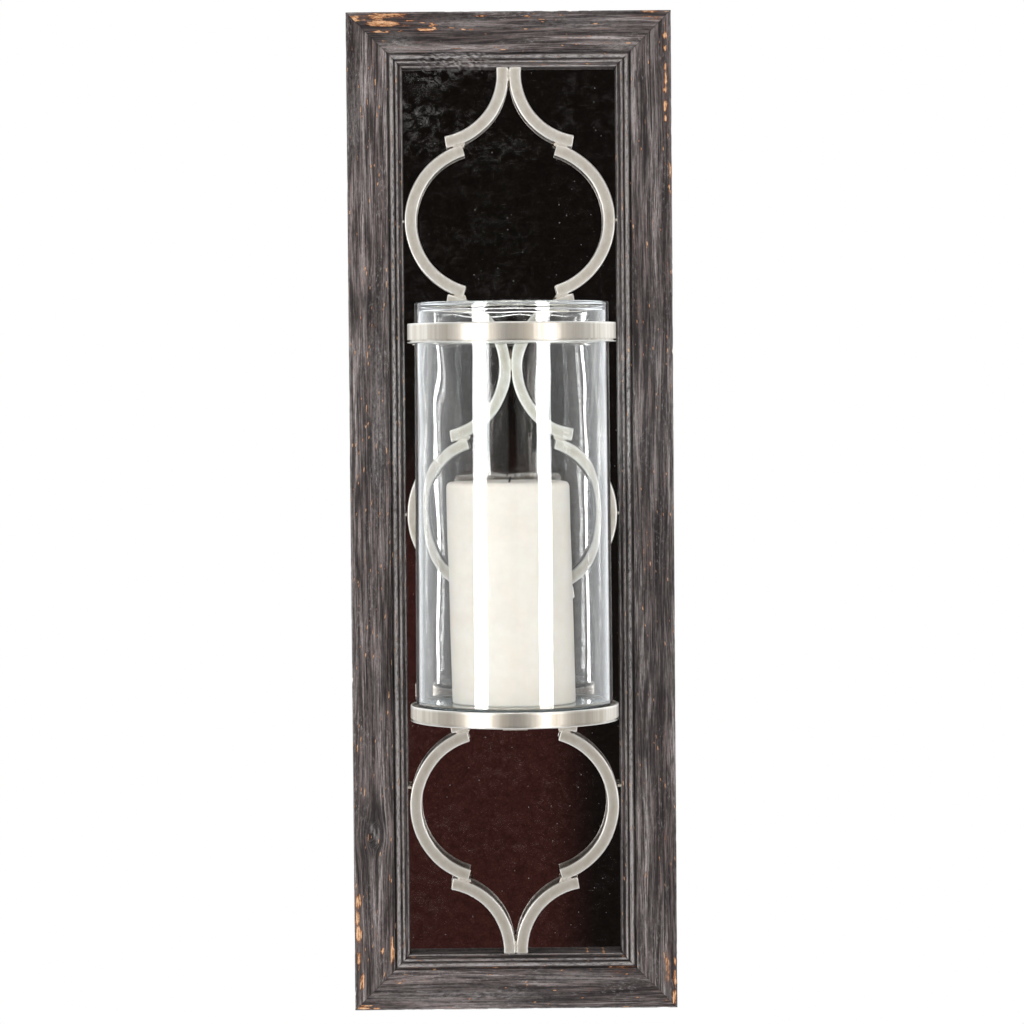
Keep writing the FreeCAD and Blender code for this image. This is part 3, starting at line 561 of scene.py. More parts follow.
# Pale blurs where the stain is rubbed, in the same measures.
RUBS = {
    "top_rail": [(-70, 21, 9, 6, 0.5), (-30, 8, 24, 4, 0.3), (45, 8, 30, 4, 0.25), (70, 22, 14, 4, 0.35)],
    "left_stile": [(250, 4, 22, 5, 0.3), (-200.5, 11.6, 3.0, 0.9, 0.9), (-204, 13.4, 3.2, 0.8, 1.0),
                   (-207.5, 15.0, 2.8, 0.9, 0.9), (-203, 15.8, 3.4, 0.6, 0.6), (60, 18, 70, 4, 0.22)],
    "right_stile": [(258, 25, 14, 3, 0.3)],
    "bottom_rail": [(-30, 9, 50, 5, 0.3), (40, 20, 40, 4, 0.2)],
}
# Knots: (along, from the outer edge, radius).
KNOTS = {"left_stile": [(-205, 13.2, 4.2)]}
# Where the beads are nicked and lumpy under the stain: (from, to) along the member.
NICKED = {"top_rail": (-56, -14)}


def moulding_section():
    """The section as (from the outer edge, off the wall), and how weathered, how pale and how dark it is:
    pale with wear and a painted highlight on corners and crowns, dark with grime and painted shade in the
    hollows.
    """
    points, traits = [(0.0, 0.0)], [(0, 0, 0)]

    def run(new_points, wear=1.0, rubbed=0.0, dirt=0.0):
        points.extend(new_points)
        traits.extend([(wear, rubbed, dirt)] * len(new_points))

    def go(end, step, **traits_there):
        run(line(points[-1], end, step), **traits_there)

    def bead(left, radius, top, shoulder, crown_steps, wear, crown_wear_and_highlight):
        """A half round, palest on its crown between the shoulders: wear there, and a painted highlight."""
        spans = ((180, 180 - shoulder, 3), (180 - shoulder, shoulder, crown_steps), (shoulder, 0, 3))
        for (start, end, steps), rubbed in zip(spans, crown_wear_and_highlight):
            run(arc((left + radius, top), radius, start, end, steps), wear=wear, rubbed=rubbed)

    side_top = FRAME_DEPTH - CORNER_ROUNDING
    quirk = FRAME_DEPTH - QUIRK_DEPTH
    big_left = FACE_WIDTH + QUIRK_WIDTH
    big_top = FRAME_DEPTH - BIG_BEAD_DROP - BIG_BEAD
    small_left = big_left + 2 * BIG_BEAD + BEAD_GAP
    small_top = FRAME_DEPTH - SMALL_BEAD_DROP - SMALL_BEAD
    small_right = small_left + 2 * SMALL_BEAD
    lip = quirk - COVE
    lip_start = MOULDING_WIDTH - LIP_ROUNDING
    face_end = FACE_WIDTH - LIP_ROUNDING
    rabbet = MOULDING_WIDTH - RABBET_WIDTH

    go((0, side_top), 1.0)
    # Pale values below are wear and a painted highlight on the corners, lips and bead crowns; dark values are
    # grime and painted shade in the quirks, the cove and the lip's inner side.
    run(arc((CORNER_ROUNDING, side_top), CORNER_ROUNDING, 180, 90, 5), rubbed=0.25)
    go((face_end, FRAME_DEPTH), 0.5)
    run(arc((face_end, FRAME_DEPTH - LIP_ROUNDING), LIP_ROUNDING, 90, 0, 3), rubbed=0.35)
    go((FACE_WIDTH, quirk), 0.7, wear=0.3, dirt=0.6)
    go((big_left, quirk), 0.5, wear=0, dirt=0.8)
    go((big_left, big_top), 0.4, wear=0.3, dirt=0.6)
    bead(big_left, BIG_BEAD, big_top, 50, 5, 0.5, (0.35, 0.8, 0.3))
    go((big_left + 2 * BIG_BEAD, quirk), 0.4, wear=0, dirt=0.75)
    go((small_left, quirk), 0.4, wear=0, dirt=0.75)
    go((small_left, small_top), 0.3, wear=0.2, dirt=0.5)
    bead(small_left, SMALL_BEAD, small_top, 55, 4, 0.4, (0.2, 0.6, 0.1))
    go((small_right, quirk), 0.3, wear=0.2, dirt=0.6)
    run(arc((small_right + COVE, quirk), COVE, 180, 270, 5), wear=0.2, dirt=0.7)
    go((lip_start, lip), 0.3, wear=0.4, rubbed=0.3)
    run(arc((lip_start, lip - LIP_ROUNDING), LIP_ROUNDING, 90, 0, 3), wear=0.3, rubbed=0.75)
    go((MOULDING_WIDTH, MIRROR_FRONT), 2.0, wear=0.2, dirt=0.55)
    go((rabbet, MIRROR_FRONT), 3.0, wear=0)
    go((rabbet, 0), 3.5, wear=0)
    run(line(points[-1], (0, 0), 2.0)[:-1], wear=0)
    return np.array(points), np.array(traits, float)


def section_normals(section):
    """The direction out of the wood at each point of the section."""
    tangent = np.roll(section, -1, axis=0) - np.roll(section, 1, axis=0)
    normal = np.stack([-tangent[:, 1], tangent[:, 0]], axis=1)
    return normal / np.linalg.norm(normal, axis=1)[:, None]


def stations(length):
    """Places along a member as shares of its half length, closer together at the mitres."""
    count = round(length / 2.2)
    inner = np.linspace(-1, 1, count)
    near_end = 1 - np.array([0.3, 0.9, 1.8]) / (length / 2)
    return np.unique(np.concatenate([inner, near_end, -near_end]))


def places_on_member(section, length):
    """Arrays over the member's surface: edge, height, walk (round the section), along and to_mitre."""
    edge, height = section.T
    walk = np.concatenate([[0], np.cumsum(np.linalg.norm(np.diff(section, axis=0), axis=1))])
    half = length / 2 - edge
    along = stations(length)[:, None] * half[None, :]
    edge, height, walk = [np.broadcast_to(item, along.shape) for item in (edge, height, walk)]
    return SimpleNamespace(edge=edge, height=height, walk=walk, along=along,
                           to_mitre=half[None, :] - np.abs(along))


def inside(box, along, across, soft):
    """How far inside a long lens each point is: 1 well inside, 0.5 on its edge and 0 well outside."""
    low, high, near, far = box
    length = np.abs(2 * along - low - high) / (high - low)
    width = np.abs(2 * across - near - far) / (far - near)
    return np.clip(0.5 + (1 - length ** 3 - width ** 1.8) * (far - near) / (2 * soft), 0, 1)


def blurs(marks, at):
    """The strongest of some soft round marks at each point."""
    strength = np.zeros_like(at.along)
    for centre, aside, half_long, half_wide, peak in marks:
        strength = np.maximum(strength, peak * np.exp(-((at.along - centre) / half_long) ** 2
                                                      - ((at.edge - aside) / half_wide) ** 2))
    return strength


def bend_round_knots(across, along, knots):
    """The grain's own coordinate across it, which parts round each knot and closes into rings inside it."""
    for knot_along, knot_across, radius in knots:
        dx = across - knot_across
        dz = (along - knot_along) * 0.55
        square = dx ** 2 + dz ** 2
        outside = dx * (1 - radius ** 2 / np.maximum(square, radius ** 2))
        rings = np.sqrt(square) * 0.7 + 0.5 * dx
        across = knot_across + np.where(square > radius ** 2, outside, rings)
    return across


def bare_places(side, at, seed):
    """How bare the wood is (chips, thin stain, nibbled outer corners, raw back), and the nibbles alone."""
    ragged = noise_at(at.along * 0.22, at.edge * 1.5, seed + 3.1) * 1.9
    bare = np.zeros_like(at.along)
    for box in CHIPS.get(side, []):
        bare = np.maximum(bare, inside(box, at.along + ragged, at.edge + ragged * 0.25, 1.2))
    for box in THIN_STAIN.get(side, []):
        bare = np.maximum(bare, 0.30 * inside(box, at.along + ragged * 2, at.edge + ragged * 0.5, 2.5))
    outer_corner = np.exp(-((at.edge / 1.2) ** 2 + ((FRAME_DEPTH - at.height) / 1.6) ** 2))
    nibbles = smoothstep(0.22, 0.5, noise_at(at.along * 0.11, seed, seed + 8.3)) * outer_corner
    bare = np.maximum(bare, 0.42 * nibbles)
    bare *= smoothstep(FRAME_DEPTH - 7, FRAME_DEPTH - 2, at.height)
    raw_back = smoothstep(1.2, 0.2, at.height * (1 + 0.8 * ragged))
    return np.maximum(bare, 1.35 * raw_back), nibbles


def nicked_places(side, at):
    """1 where the beads are nicked and lumpy, fading to 0 at both ends."""
    low, high = NICKED.get(side, (0, 0))
    nicked = (at.edge > FACE_WIDTH) * (at.height > MIRROR_FRONT + 2) * smoothstep(low - 3, low + 3, at.along)
    return nicked * smoothstep(high + 3, high - 3, at.along) * (high > low)


def sunk_surface(at, wear, bare, nibbles, seed):
    """How far the weathered surface lies below the planed one, in millimetres."""
    grooves = np.maximum(noise_at(at.walk * 1.15, at.along * 0.02, seed) - 0.12, 0)
    fine_grooves = np.maximum(noise_at(at.walk * 2.6, at.along * 0.05, seed + 1.7) - 0.2, 0)
    sway = 0.5 + 0.5 * noise_at(at.walk * 0.09, at.along * 0.011, seed + 5.9)
    dents = smoothstep(0.38, 0.62, noise_at(at.along * 0.22, at.walk * 0.5, seed + 6.4))
    chips = smoothstep(0.4, 0.6, bare)
    sunk = 0.50 * grooves + 0.25 * fine_grooves + 0.22 * sway + 0.35 * dents + 0.25 * chips
    return wear * sunk + 0.7 * nibbles + 0.2 * np.exp(-(at.to_mitre / 0.5) ** 2) * (wear > 0)


def rubbed_and_dark(side, at, rubbed, dirt, nicked, lumps):
    """How pale and how dark each point is, from the section's own traits and the marks along the member: pale
    with wear and a painted highlight, dark with grime, smudges, the mitre joints and painted shade.
    """
    on_face = at.height > FRAME_DEPTH - QUIRK_DEPTH - COVE - 1
    # Paler towards the mitres, a painted highlight on the corners there, and under the pale blurs on the
    # face.
    rubbed = rubbed * (1 + 0.6 * np.exp(-(at.to_mitre / 6) ** 2)) + blurs(RUBS.get(side, []), at) * on_face
    # The raised lumps of the nicked beads get a painted highlight.
    rubbed = np.clip(rubbed + nicked * 4 * np.maximum(-lumps - 0.02, 0), 0, 1)
    dark = dirt * (1 - 0.4 * np.exp(-(at.to_mitre / 3) ** 2)) * (1 - 0.5 * nicked)
    dark = np.maximum(dark, blurs(SMUDGES_AND_SHADE.get(side, []), at)) * (1 - 0.8 * rubbed)
    # The deeper dents of the nicked beads get painted shade.
    dark = np.maximum(dark, nicked * smoothstep(0.2, 0.5, lumps))
    return rubbed, np.maximum(dark, 0.55 * np.exp(-(at.to_mitre / 0.35) ** 2) * (at.height > 1))


def frame_member(side, length, put, seed, material, plate_x=None):
    """One moulding member with weathered faces.

    put maps (from the outer edge, off the wall, along) to the frame. A stile also has the recess of a keyhole
    plate at plate_x.
    """
    section, traits = moulding_section()
    normal = section_normals(section)
    wear, rubbed, dirt = traits.T
    at = places_on_member(section, length)
    bare, nibbles = bare_places(side, at, seed)
    nicked = nicked_places(side, at)
    lumps = noise_at(at.along * 0.62, at.edge * 0.8, seed + 9.6)
    sunk = sunk_surface(at, wear, bare, nibbles, seed) + nicked * (0.40 + 1.2 * lumps)
    sunk = np.where(at.height < 0.01, 0, np.maximum(sunk, 0))
    rubbed, dark = rubbed_and_dark(side, at, rubbed, dirt, nicked, lumps)
    grain_across = bend_round_knots(at.edge, at.along, KNOTS.get(side, [])) + (at.walk - at.edge)
    grain_across = grain_across + 2.0 * noise_at(at.along * 0.012, at.walk * 0.07, seed + 2.2)

    points = np.stack(put(at.edge - normal[:, 0] * sunk, at.height - normal[:, 1] * sunk, at.along), axis=-1)
    points = points.reshape(-1, 3)
    columns = len(section)
    faces = grid_faces(len(at.along), columns) + end_faces(len(points), columns)
    item = make_object(f"wood_{side}", points, faces, material, "root", sharp_angle=50)
    if plate_x:
        cut_hanger_recess(item, plate_x)
    nearest = nearest_points(item, points)
    store(item, "grain", (grain_across, at.along, np.full_like(at.along, seed * 7.0)), nearest)
    store(item, "marks", (bare, rubbed, dark), nearest)
    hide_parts(f"frame_{side}")


def nearest_points(item, points):
    """For each vertex of the mesh, the number of the nearest of the points."""
    tree = kdtree.KDTree(len(points))
    for index, point in enumerate(points * MM):
        tree.insert(point, index)
    tree.balance()
    return np.array([tree.find(vertex.co)[1] for vertex in item.data.vertices])


def store(item, name, values, nearest):
    """Keep three values at each vertex, taken from the nearest point that they were worked out for."""
    attribute = item.data.attributes.new(name, "FLOAT_VECTOR", "POINT")
    at_points = np.stack(values, axis=-1).reshape(-1, 3)
    attribute.data.foreach_set("vector", at_points[nearest].reshape(-1).astype(np.float32))


def keep_rubbed(item, rubbed, nearest):
    """How strongly each vertex is painted pale as a highlight, in the first of its three values."""
    store(item, "rubbed", (rubbed, rubbed * 0, rubbed * 0), nearest)


def prism(outline, near, far):
    """A hidden cutter: an outline in X and Z, between two distances off the wall."""
    count = len(outline)
    points = [(x, -near, z) for x, z in outline] + [(x, -far, z) for x, z in outline]
    sides = [(i, (i + 1) % count, count + (i + 1) % count, count + i) for i in range(count)]
    mesh = bpy.data.meshes.new("cutter")
    mesh.from_pydata((np.array(points) * MM).tolist(), [], [tuple(range(count))[::-1],
                     tuple(range(count, 2 * count)), *sides])
    shape = bmesh.new()
    shape.from_mesh(mesh)
    bmesh.ops.recalc_face_normals(shape, faces=shape.faces)
    shape.to_mesh(mesh)
    shape.free()
    cutter = bpy.data.objects.new("cutter", mesh)
    bpy.context.scene.collection.objects.link(cutter)
    return cutter


def cut_hanger_recess(item, x):
    """The recess for the keyhole plate and the room behind it, as in the CAD stile."""
    reach = PLATE_LENGTH / 2 - PLATE_WIDTH / 2
    stadium = ([(x + px, PLATE_Z + reach + pz) for px, pz in arc((0, 0), PLATE_WIDTH / 2, -6, 186, 16)]
               + [(x + px, PLATE_Z - reach + pz) for px, pz in arc((0, 0), PLATE_WIDTH / 2, 174, 366, 16)])
    wide = POCKET_WIDTH / 2
    room = [(x - wide, PLATE_Z + POCKET_LOW), (x + wide, PLATE_Z + POCKET_LOW),
            (x + wide, PLATE_Z + POCKET_HIGH), (x - wide, PLATE_Z + POCKET_HIGH)]
    for outline, depth in ((stadium, PLATE_THICKNESS), (room, POCKET_DEPTH)):
        cutter = prism(outline, -1, depth)
        modifier = item.modifiers.new("recess", "BOOLEAN")
        modifier.operation = "DIFFERENCE"
        modifier.solver = "EXACT"
        modifier.object = cutter
        bpy.context.view_layer.update()
        result = bpy.data.meshes.new_from_object(item.evaluated_get(bpy.context.evaluated_depsgraph_get()))
        item.modifiers.clear()
        item.data = result
        bpy.data.objects.remove(cutter)


def picture_frame(material):
    """Four members, mitred at the corners."""
    half_width, half_height = FRAME_WIDTH / 2, FRAME_HEIGHT / 2
    frame_member("left_stile", FRAME_HEIGHT, lambda u, d, v: (u - half_width, -d, v), 1.3, material, -PLATE_X)
    frame_member("right_stile", FRAME_HEIGHT, lambda u, d, v: (half_width - u, -d, v), 4.6, material, PLATE_X)
    frame_member("top_rail", FRAME_WIDTH, lambda u, d, v: (v, -d, half_height - u), 7.2, material)
    frame_member("bottom_rail", FRAME_WIDTH, lambda u, d, v: (v, -d, u - half_height), 9.8, material)


# ---------------------------------------------------------------- glass, candle and wick

def hurricane_glass(material):
    """A drawn cylinder whose wall wanders a little, with a fire-polished rim and a rounded heel."""
    wall_top = GLASS_HEIGHT - GLASS_WALL / 2
    inner_heel = GLASS_HEEL - GLASS_WALL
    heel, corner, punt, foot, rim_bead = 2.5, 1.8, 0.5, 0.1, 4.5
    profile = [(0.0, punt)]
    profile += line(profile[-1], (GLASS_HEEL - heel - 4, foot), 4)
    profile += line(profile[-1], (GLASS_HEEL - heel, foot), 2)
    profile += arc((GLASS_HEEL - heel, foot + heel), heel, -90, 0, 8)
    profile += [(GLASS_HEEL, foot + heel + 0.3)]
    profile += line(profile[-1], (GLASS_RIM, wall_top - 0.3), 6)
    profile += [(GLASS_RIM, wall_top)]
    profile += arc((GLASS_RIM - GLASS_WALL / 2, wall_top), GLASS_WALL / 2, 0, 180, 10)
    profile += arc((GLASS_RIM - GLASS_WALL - 0.1, wall_top - rim_bead / 2), rim_bead / 2, 90, 270, 8)
    profile += line(profile[-1], (inner_heel, GLASS_BASE + corner + 0.3), 6)
    profile += [(inner_heel, GLASS_BASE + corner)]
    profile += arc((inner_heel - corner, GLASS_BASE + corner), corner, 0, -90, 5)
    profile += line(profile[-1], (0, GLASS_BASE), 4)

    def warp(radius, height, turn):
        ripple = noise_at(np.cos(turn) * 1.4 + height * 0.006, np.sin(turn) * 1.4, 3.3)
        runs = noise_at(np.cos(turn) * 2.6 + height * 0.022, np.sin(turn) * 2.6 + height * 0.009, 7.9)
        share = smoothstep(20, 55, radius)
        inner = share * smoothstep(GLASS_RIM - GLASS_WALL / 2, GLASS_RIM - GLASS_WALL, radius)
        shrunk = radius - share * (0.10 + 0.08 * ripple) - inner * 0.28 * runs
        return shrunk, height + TRAY_FLOOR_TOP, 0

    item = lathe("glass_cylinder", profile, GLASS_SEGMENTS, material, "glass", warp)
    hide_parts("hurricane_glass")


def pillar_candle(material):
    """The candle leans a little, its top edge is soft, and its sides are not quite true."""
    foot = TRAY_FLOOR_TOP + GLASS_BASE + 0.05
    top = CANDLE_HEIGHT - 0.3
    low_edge, top_edge = 1.2, 3.5
    profile = [(0.0, 0.0)]
    profile += line(profile[-1], (CANDLE_RADIUS - low_edge, 0), 5)
    profile += arc((CANDLE_RADIUS - low_edge, low_edge), low_edge, -90, 0, 5)
    profile += [(CANDLE_RADIUS, low_edge + 0.3)]
    profile += line(profile[-1], (CANDLE_RADIUS, top - top_edge), 4)
    profile += arc((CANDLE_RADIUS - top_edge, top - top_edge), top_edge, 0, 90, 7)
    profile += line(profile[-1], (14, top - 0.4), 2)
    profile += [(10, top - 0.9), (7, top - 1.5), (4, top - 1.9), (1.5, top - 1.6), (0, top - 1.5)]

    def warp(radius, height, turn):
        lumps = noise_at(np.cos(turn) * 1.1 + 5, np.sin(turn) * 1.1 + height * 0.02, 2.4)
        rim = smoothstep(15, 34, radius) * smoothstep(top - 8, top, height)
        sag = 0.5 * rim * noise_at(np.cos(turn) * 2.2, np.sin(turn) * 2.2, 6.1)
        lean = -0.2 - 3.1 * height / CANDLE_HEIGHT
        shrunk = radius - smoothstep(5, 30, radius) * (0.06 + 0.12 * lumps)
        return shrunk, height + foot - np.abs(sag), lean

    item = lathe("candle_body", profile, CANDLE_SEGMENTS, material, "candle", warp)
    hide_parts("pillar_candle")


def candle_wick(material):
    """A braided wick that curls over at its tip."""
    foot = TRAY_FLOOR_TOP + GLASS_BASE + CANDLE_HEIGHT - 4.0
    rings, sides = 22, 12
    length, half_thickness, candle_lean = 7.2, 0.75, -2.4
    points = []
    for ring in range(rings):
        share = ring / (rings - 1)
        bend = 1.1 * share ** 2
        centre = (candle_lean + 1.2 * math.sin(bend), AXIS_Y - 0.3 * share,
                  foot + length * share - 0.8 * share ** 3)
        thick = half_thickness * (1 - 0.35 * share) * (1 if ring < rings - 1 else 0.3)
        for side in range(sides):
            angle = 2 * math.pi * side / sides
            braid = 1 + 0.16 * math.cos(3 * angle + 9 * share)
            points.append((centre[0] + thick * braid * math.cos(angle),
                           centre[1] + thick * braid * math.sin(angle), centre[2]))
    faces = grid_faces(rings, sides) + end_faces(len(points), sides)
    item = make_object("wick_braid", points, faces, material, "candle")
    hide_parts("candle_wick")


# ---------------------------------------------------------------- scroll and hoops

def rounded_section(width, thickness, rounding):
    """A bar's section as (across, deep) from its front outer corner, with how strongly each point is painted
    pale: a painted highlight on the rounded corners and near the sides of a wide face.
    """
    corners = ((rounding, rounding, 180), (width - rounding, rounding, 270),
               (width - rounding, thickness - rounding, 0), (rounding, thickness - rounding, 90))
    section, rubbed = [], []
    for x, y, start in corners:
        around = [(x + rounding * math.cos(angle), y + rounding * math.sin(angle))
                  for angle in np.radians(np.linspace(start, start + 90, 6))]
        if section:
            between_corners = line(section[-1], around[0], 0.9)[:-1]
            section += between_corners
            rubbed += [0.0] * len(between_corners)
        section += around
        rubbed += [0.4, 0.8, 1.0, 1.0, 0.8, 0.4]
    closing = line(section[-1], section[0], 1.2)[:-1]
    section, rubbed = np.array(section + closing), np.array(rubbed + [0.0] * len(closing))
    to_side = np.minimum(section[:, 0], width - section[:, 0])
    return section, np.maximum(rubbed, 0.45 * np.exp(-(to_side / 2.0) ** 2) * (width > thickness))


def scroll_bar(name, sign, centre, radius, start, end, seed, material):
    """A flat bar bent about centre. start and end give each end's angle for each distance from the centre."""
    section, rubbed = rounded_section(BAR_WIDTH, BAR_THICKNESS, BAR_ROUNDING)
    middle = np.array([BAR_WIDTH, BAR_THICKNESS]) / 2
    length = radius * abs(float(end(radius) - start(radius)))
    near_end = np.array([0, 0.12, 0.35, 0.7]) / length
    between_ends = np.linspace(1.5 / length, 1 - 1.5 / length, round(length / 1.6))
    shares = np.concatenate([near_end, between_ends, 1 - near_end[::-1]])
    points, wear_and_highlit = [], []
    for share in shares:
        to_end = min(share, 1 - share) * length
        inset = END_ROUNDING - math.sqrt(END_ROUNDING ** 2 - max(END_ROUNDING - to_end, 0) ** 2)
        across, deep = (middle + (section - middle) * (1 - inset / middle)).T
        wave = noise_at(share * length * 0.05, 0.0, seed)
        reach = radius - across - 0.12 * (1 + wave)
        angle = start(reach) + (end(reach) - start(reach)) * share
        points.append(np.stack([sign * (centre[0] + reach * np.cos(angle)), deep - SCROLL_FRONT,
                                centre[1] + reach * np.sin(angle)], axis=-1))
        # The last half millimetre at each end gets the painted highlight too.
        wear_and_highlit.append(np.maximum(rubbed, 1.0 if to_end < 0.5 else 0.0))
    points = np.concatenate(points)
    columns = len(section)
    faces = grid_faces(len(shares), columns) + end_faces(len(points), columns)
    item = make_object(f"bar_{name}", points, faces, material, "root")
    keep_rubbed(item, np.concatenate(wear_and_highlit), nearest_points(item, points))
    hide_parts(f"scroll_{name}")


def scroll(material):
    """Seven bars on each side: bulbs bow outwards, and arches bow in to the centre line."""
    half_opening = FRAME_HEIGHT / 2 - MOULDING_WIDTH

    def fixed(degrees):
        return lambda reach: np.full_like(np.asarray(reach, float), math.radians(degrees))

    def level(cut):
        return lambda reach: math.pi - np.arcsin(cut / np.asarray(reach, float))

    bulbs = (("top_bulb", 2), ("middle_bulb", 0), ("bottom_bulb", -2))
    arches = (("top_half_arch", 3), ("upper_arch", 1), ("lower_arch", -1), ("bottom_half_arch", -3))
    for side, sign in (("left", -1), ("right", 1)):
        for order, (name, step) in enumerate(bulbs):
            centre = (BULB_CENTRE, SCROLL_CENTRE + step * HALF_PITCH)
            scroll_bar(f"{side}_{name}", sign, centre, BULB_RADIUS, fixed(-BULB_HALF_SPAN),
                       fixed(BULB_HALF_SPAN), 3.1 * order + sign, material)
        for order, (name, step) in enumerate(arches):
            centre = (ARCH_RADIUS, SCROLL_CENTRE + step * HALF_PITCH)
            start = level(half_opening - centre[1]) if step == 3 else fixed(180 - ARCH_HALF_SPAN)
            end = level(-half_opening - centre[1]) if step == -3 else fixed(180 + ARCH_HALF_SPAN)
            scroll_bar(f"{side}_{name}", sign, centre, ARCH_RADIUS, start, end, 2.3 * order + sign, material)


def hoop(name, bottom, height, seed, material):
    """A flat band rolled into a ring, a little uneven, with soft rounded edges that carry a painted
    highlight.
    """
    section, rubbed = rounded_section(HOOP_WALL, height, HOOP_ROUNDING)
    outline = np.array([(HOOP_RADIUS - across, bottom + deep) for across, deep in section])

    def warp(radius, level, turn):
        wave = noise_at(np.cos(turn) * 1.3, np.sin(turn) * 1.3, seed)
        return radius - 0.05 * (1 + wave), level, 0

    item = lathe(f"band_{name}", outline - (0.02, 0), HOOP_SEGMENTS, material, "root", warp)
    flat = np.array([(math.hypot(vertex.co.x, vertex.co.y - AXIS_Y * MM), vertex.co.z)
                     for vertex in item.data.vertices]) / MM
    nearest = np.array([np.argmin(((outline - spot) ** 2).sum(axis=1)) for spot in flat])
    keep_rubbed(item, rubbed, nearest)
    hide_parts(name)


# ---------------------------------------------------------------- welds on the scroll's front

def weld_lump(centre, direction, length, width, proud, seed):
    """A rippled bead lying on the bars' front faces: points and faces of its own."""
    rings, sides = 15, 14
    direction = np.array(direction, float)
    across = np.array([-direction[1], direction[0]])
    points = []
    for ring in range(rings):
        share = -1 + 2 * ring / (rings - 1)
        swell = math.sqrt(max(1 - share ** 2, 0.0004)) * (1 + 0.16 * math.cos(9 * share + seed))
        for side in range(sides):
            angle = 2 * math.pi * side / sides
            wide = width * swell * math.cos(angle)
            high = proud * swell * math.sin(angle)
            spot = np.array(centre) + direction * share * length + across * wide
            points.append((spot[0], LUMP_SINK - SCROLL_FRONT - high, spot[1]))
    return points, grid_faces(rings, sides) + end_faces(len(points), sides)


def lumps(name, places, proud, material):
    """One object of lumps, from (centre, direction, half length, half width) of each."""
    points, faces = [], []
    for order, (centre, direction, length, width) in enumerate(places):
        new_points, new_faces = weld_lump(centre, direction, length, width, proud, order * 1.7)
        faces += [tuple(index + len(points) for index in face) for face in new_faces]
        points += new_points
    make_object(name, points, faces, material, "root")


def front_welds(metal, flux):
    """Beads where an arch meets a bulb and where left and right arches meet, with flux beside them."""
    share = BULB_RADIUS / (BULB_RADIUS + ARCH_RADIUS)
    reach = (ARCH_RADIUS - BULB_CENTRE, HALF_PITCH)
    apart = math.hypot(*reach)
    lap_length, lap_width, crust_at = 4.6, 2.5, 4.5
    welds, crusts = [], []
    for sign, bulb, up in itertools.product((-1, 1), (2, 0, -2), (-1, 1)):
        x = sign * (BULB_CENTRE + reach[0] * share)
        z = SCROLL_CENTRE + bulb * HALF_PITCH + up * HALF_PITCH * share
        along = (sign * -up * reach[1] / apart, reach[0] / apart)
        welds.append(((x, z), along, lap_length, lap_width))
        end = crust_at * up * (1 if sign == bulb / 2 else -1)
        crusts.append(((x + along[0] * end, z + along[1] * end), along, 1.3, 0.55))
    middle = SCROLL_CENTRE + HALF_PITCH
    for z, length in ((277.4, 3.6), (middle + 1.5, 4.5), (-277.6, 3.6)):
        welds.append(((0, z), (0, 1), length, 1.8))
    for z, length, width in ((272.0, 2.4, 0.5), (middle + 8.4, 3.4, 0.75), (middle - 3.6, 2.2, 0.6),
                             (-272.2, 2.4, 0.5)):
        crusts.append(((0, z), (0, 1), length, width))
    lumps("scroll_front_welds", welds, 0.25, metal)
    lumps("scroll_flux_marks", crusts, 0.45, flux)


# ---------------------------------------------------------------- room

def paint(material, *names):
    """Give CAD nodes a material. Their shapes stay as they are."""
    for name in names:
        node = frame["nodes"][name]
        node.data.materials.clear()
        node.data.materials.append(material)


def nodes_of(slot):
    return [name for name, own_slot in SLOTS.items() if own_slot == slot]


def pale_floor():
    """The sconce hangs at head height, so the floor is far below it."""
    mesh = bpy.data.meshes.new("floor")
    reach = 6
    mesh.from_pydata([(-reach, -reach, 0), (reach, -reach, 0), (reach, reach, 0), (-reach, reach, 0)], [],
                     [(0, 1, 2, 3)])
    floor = bpy.data.objects.new("floor", mesh)
    floor.location.z = -1.6
    bpy.context.scene.collection.objects.link(floor)
    material, tree, shader = new_material("pale_floor", Base_Color=(0.92, 0.92, 0.92), Roughness=0.9)
    mesh.materials.append(material)


def soft_box(name, place, target, size, radiance):
    """A rectangular lamp at place that faces target, all in metres."""
    lamp = bpy.data.lights.new(name, "AREA")
    lamp.shape = "RECTANGLE"
    lamp.size, lamp.size_y = size
    lamp.energy = radiance * math.pi * lamp.size * lamp.size_y
    item = bpy.data.objects.new(name, lamp)
    item.location = place
    item.rotation_mode = "QUATERNION"
    item.rotation_quaternion = (place - target).to_track_quat("Z", "Y")
    bpy.context.scene.collection.objects.link(item)


def studio_lights():
    """Two soft boxes in front, which draw the bright lines down the glass, and one overhead."""
    glass_middle = Vector((0, AXIS_Y * MM, -0.05))
    distance = 1.7
    for degrees, radiance in ((-39.0, 17), (37.0, 13)):
        angle = math.radians(degrees)
        place = glass_middle + Vector((math.sin(angle), -math.cos(angle), 0)) * distance
        soft_box("strip", place, glass_middle, (0.48, 0.44), radiance)
    soft_box("overhead", Vector((0, -1.2, 1.0)), Vector((0, 0, 0.2)), (0.6, 0.4), 7)


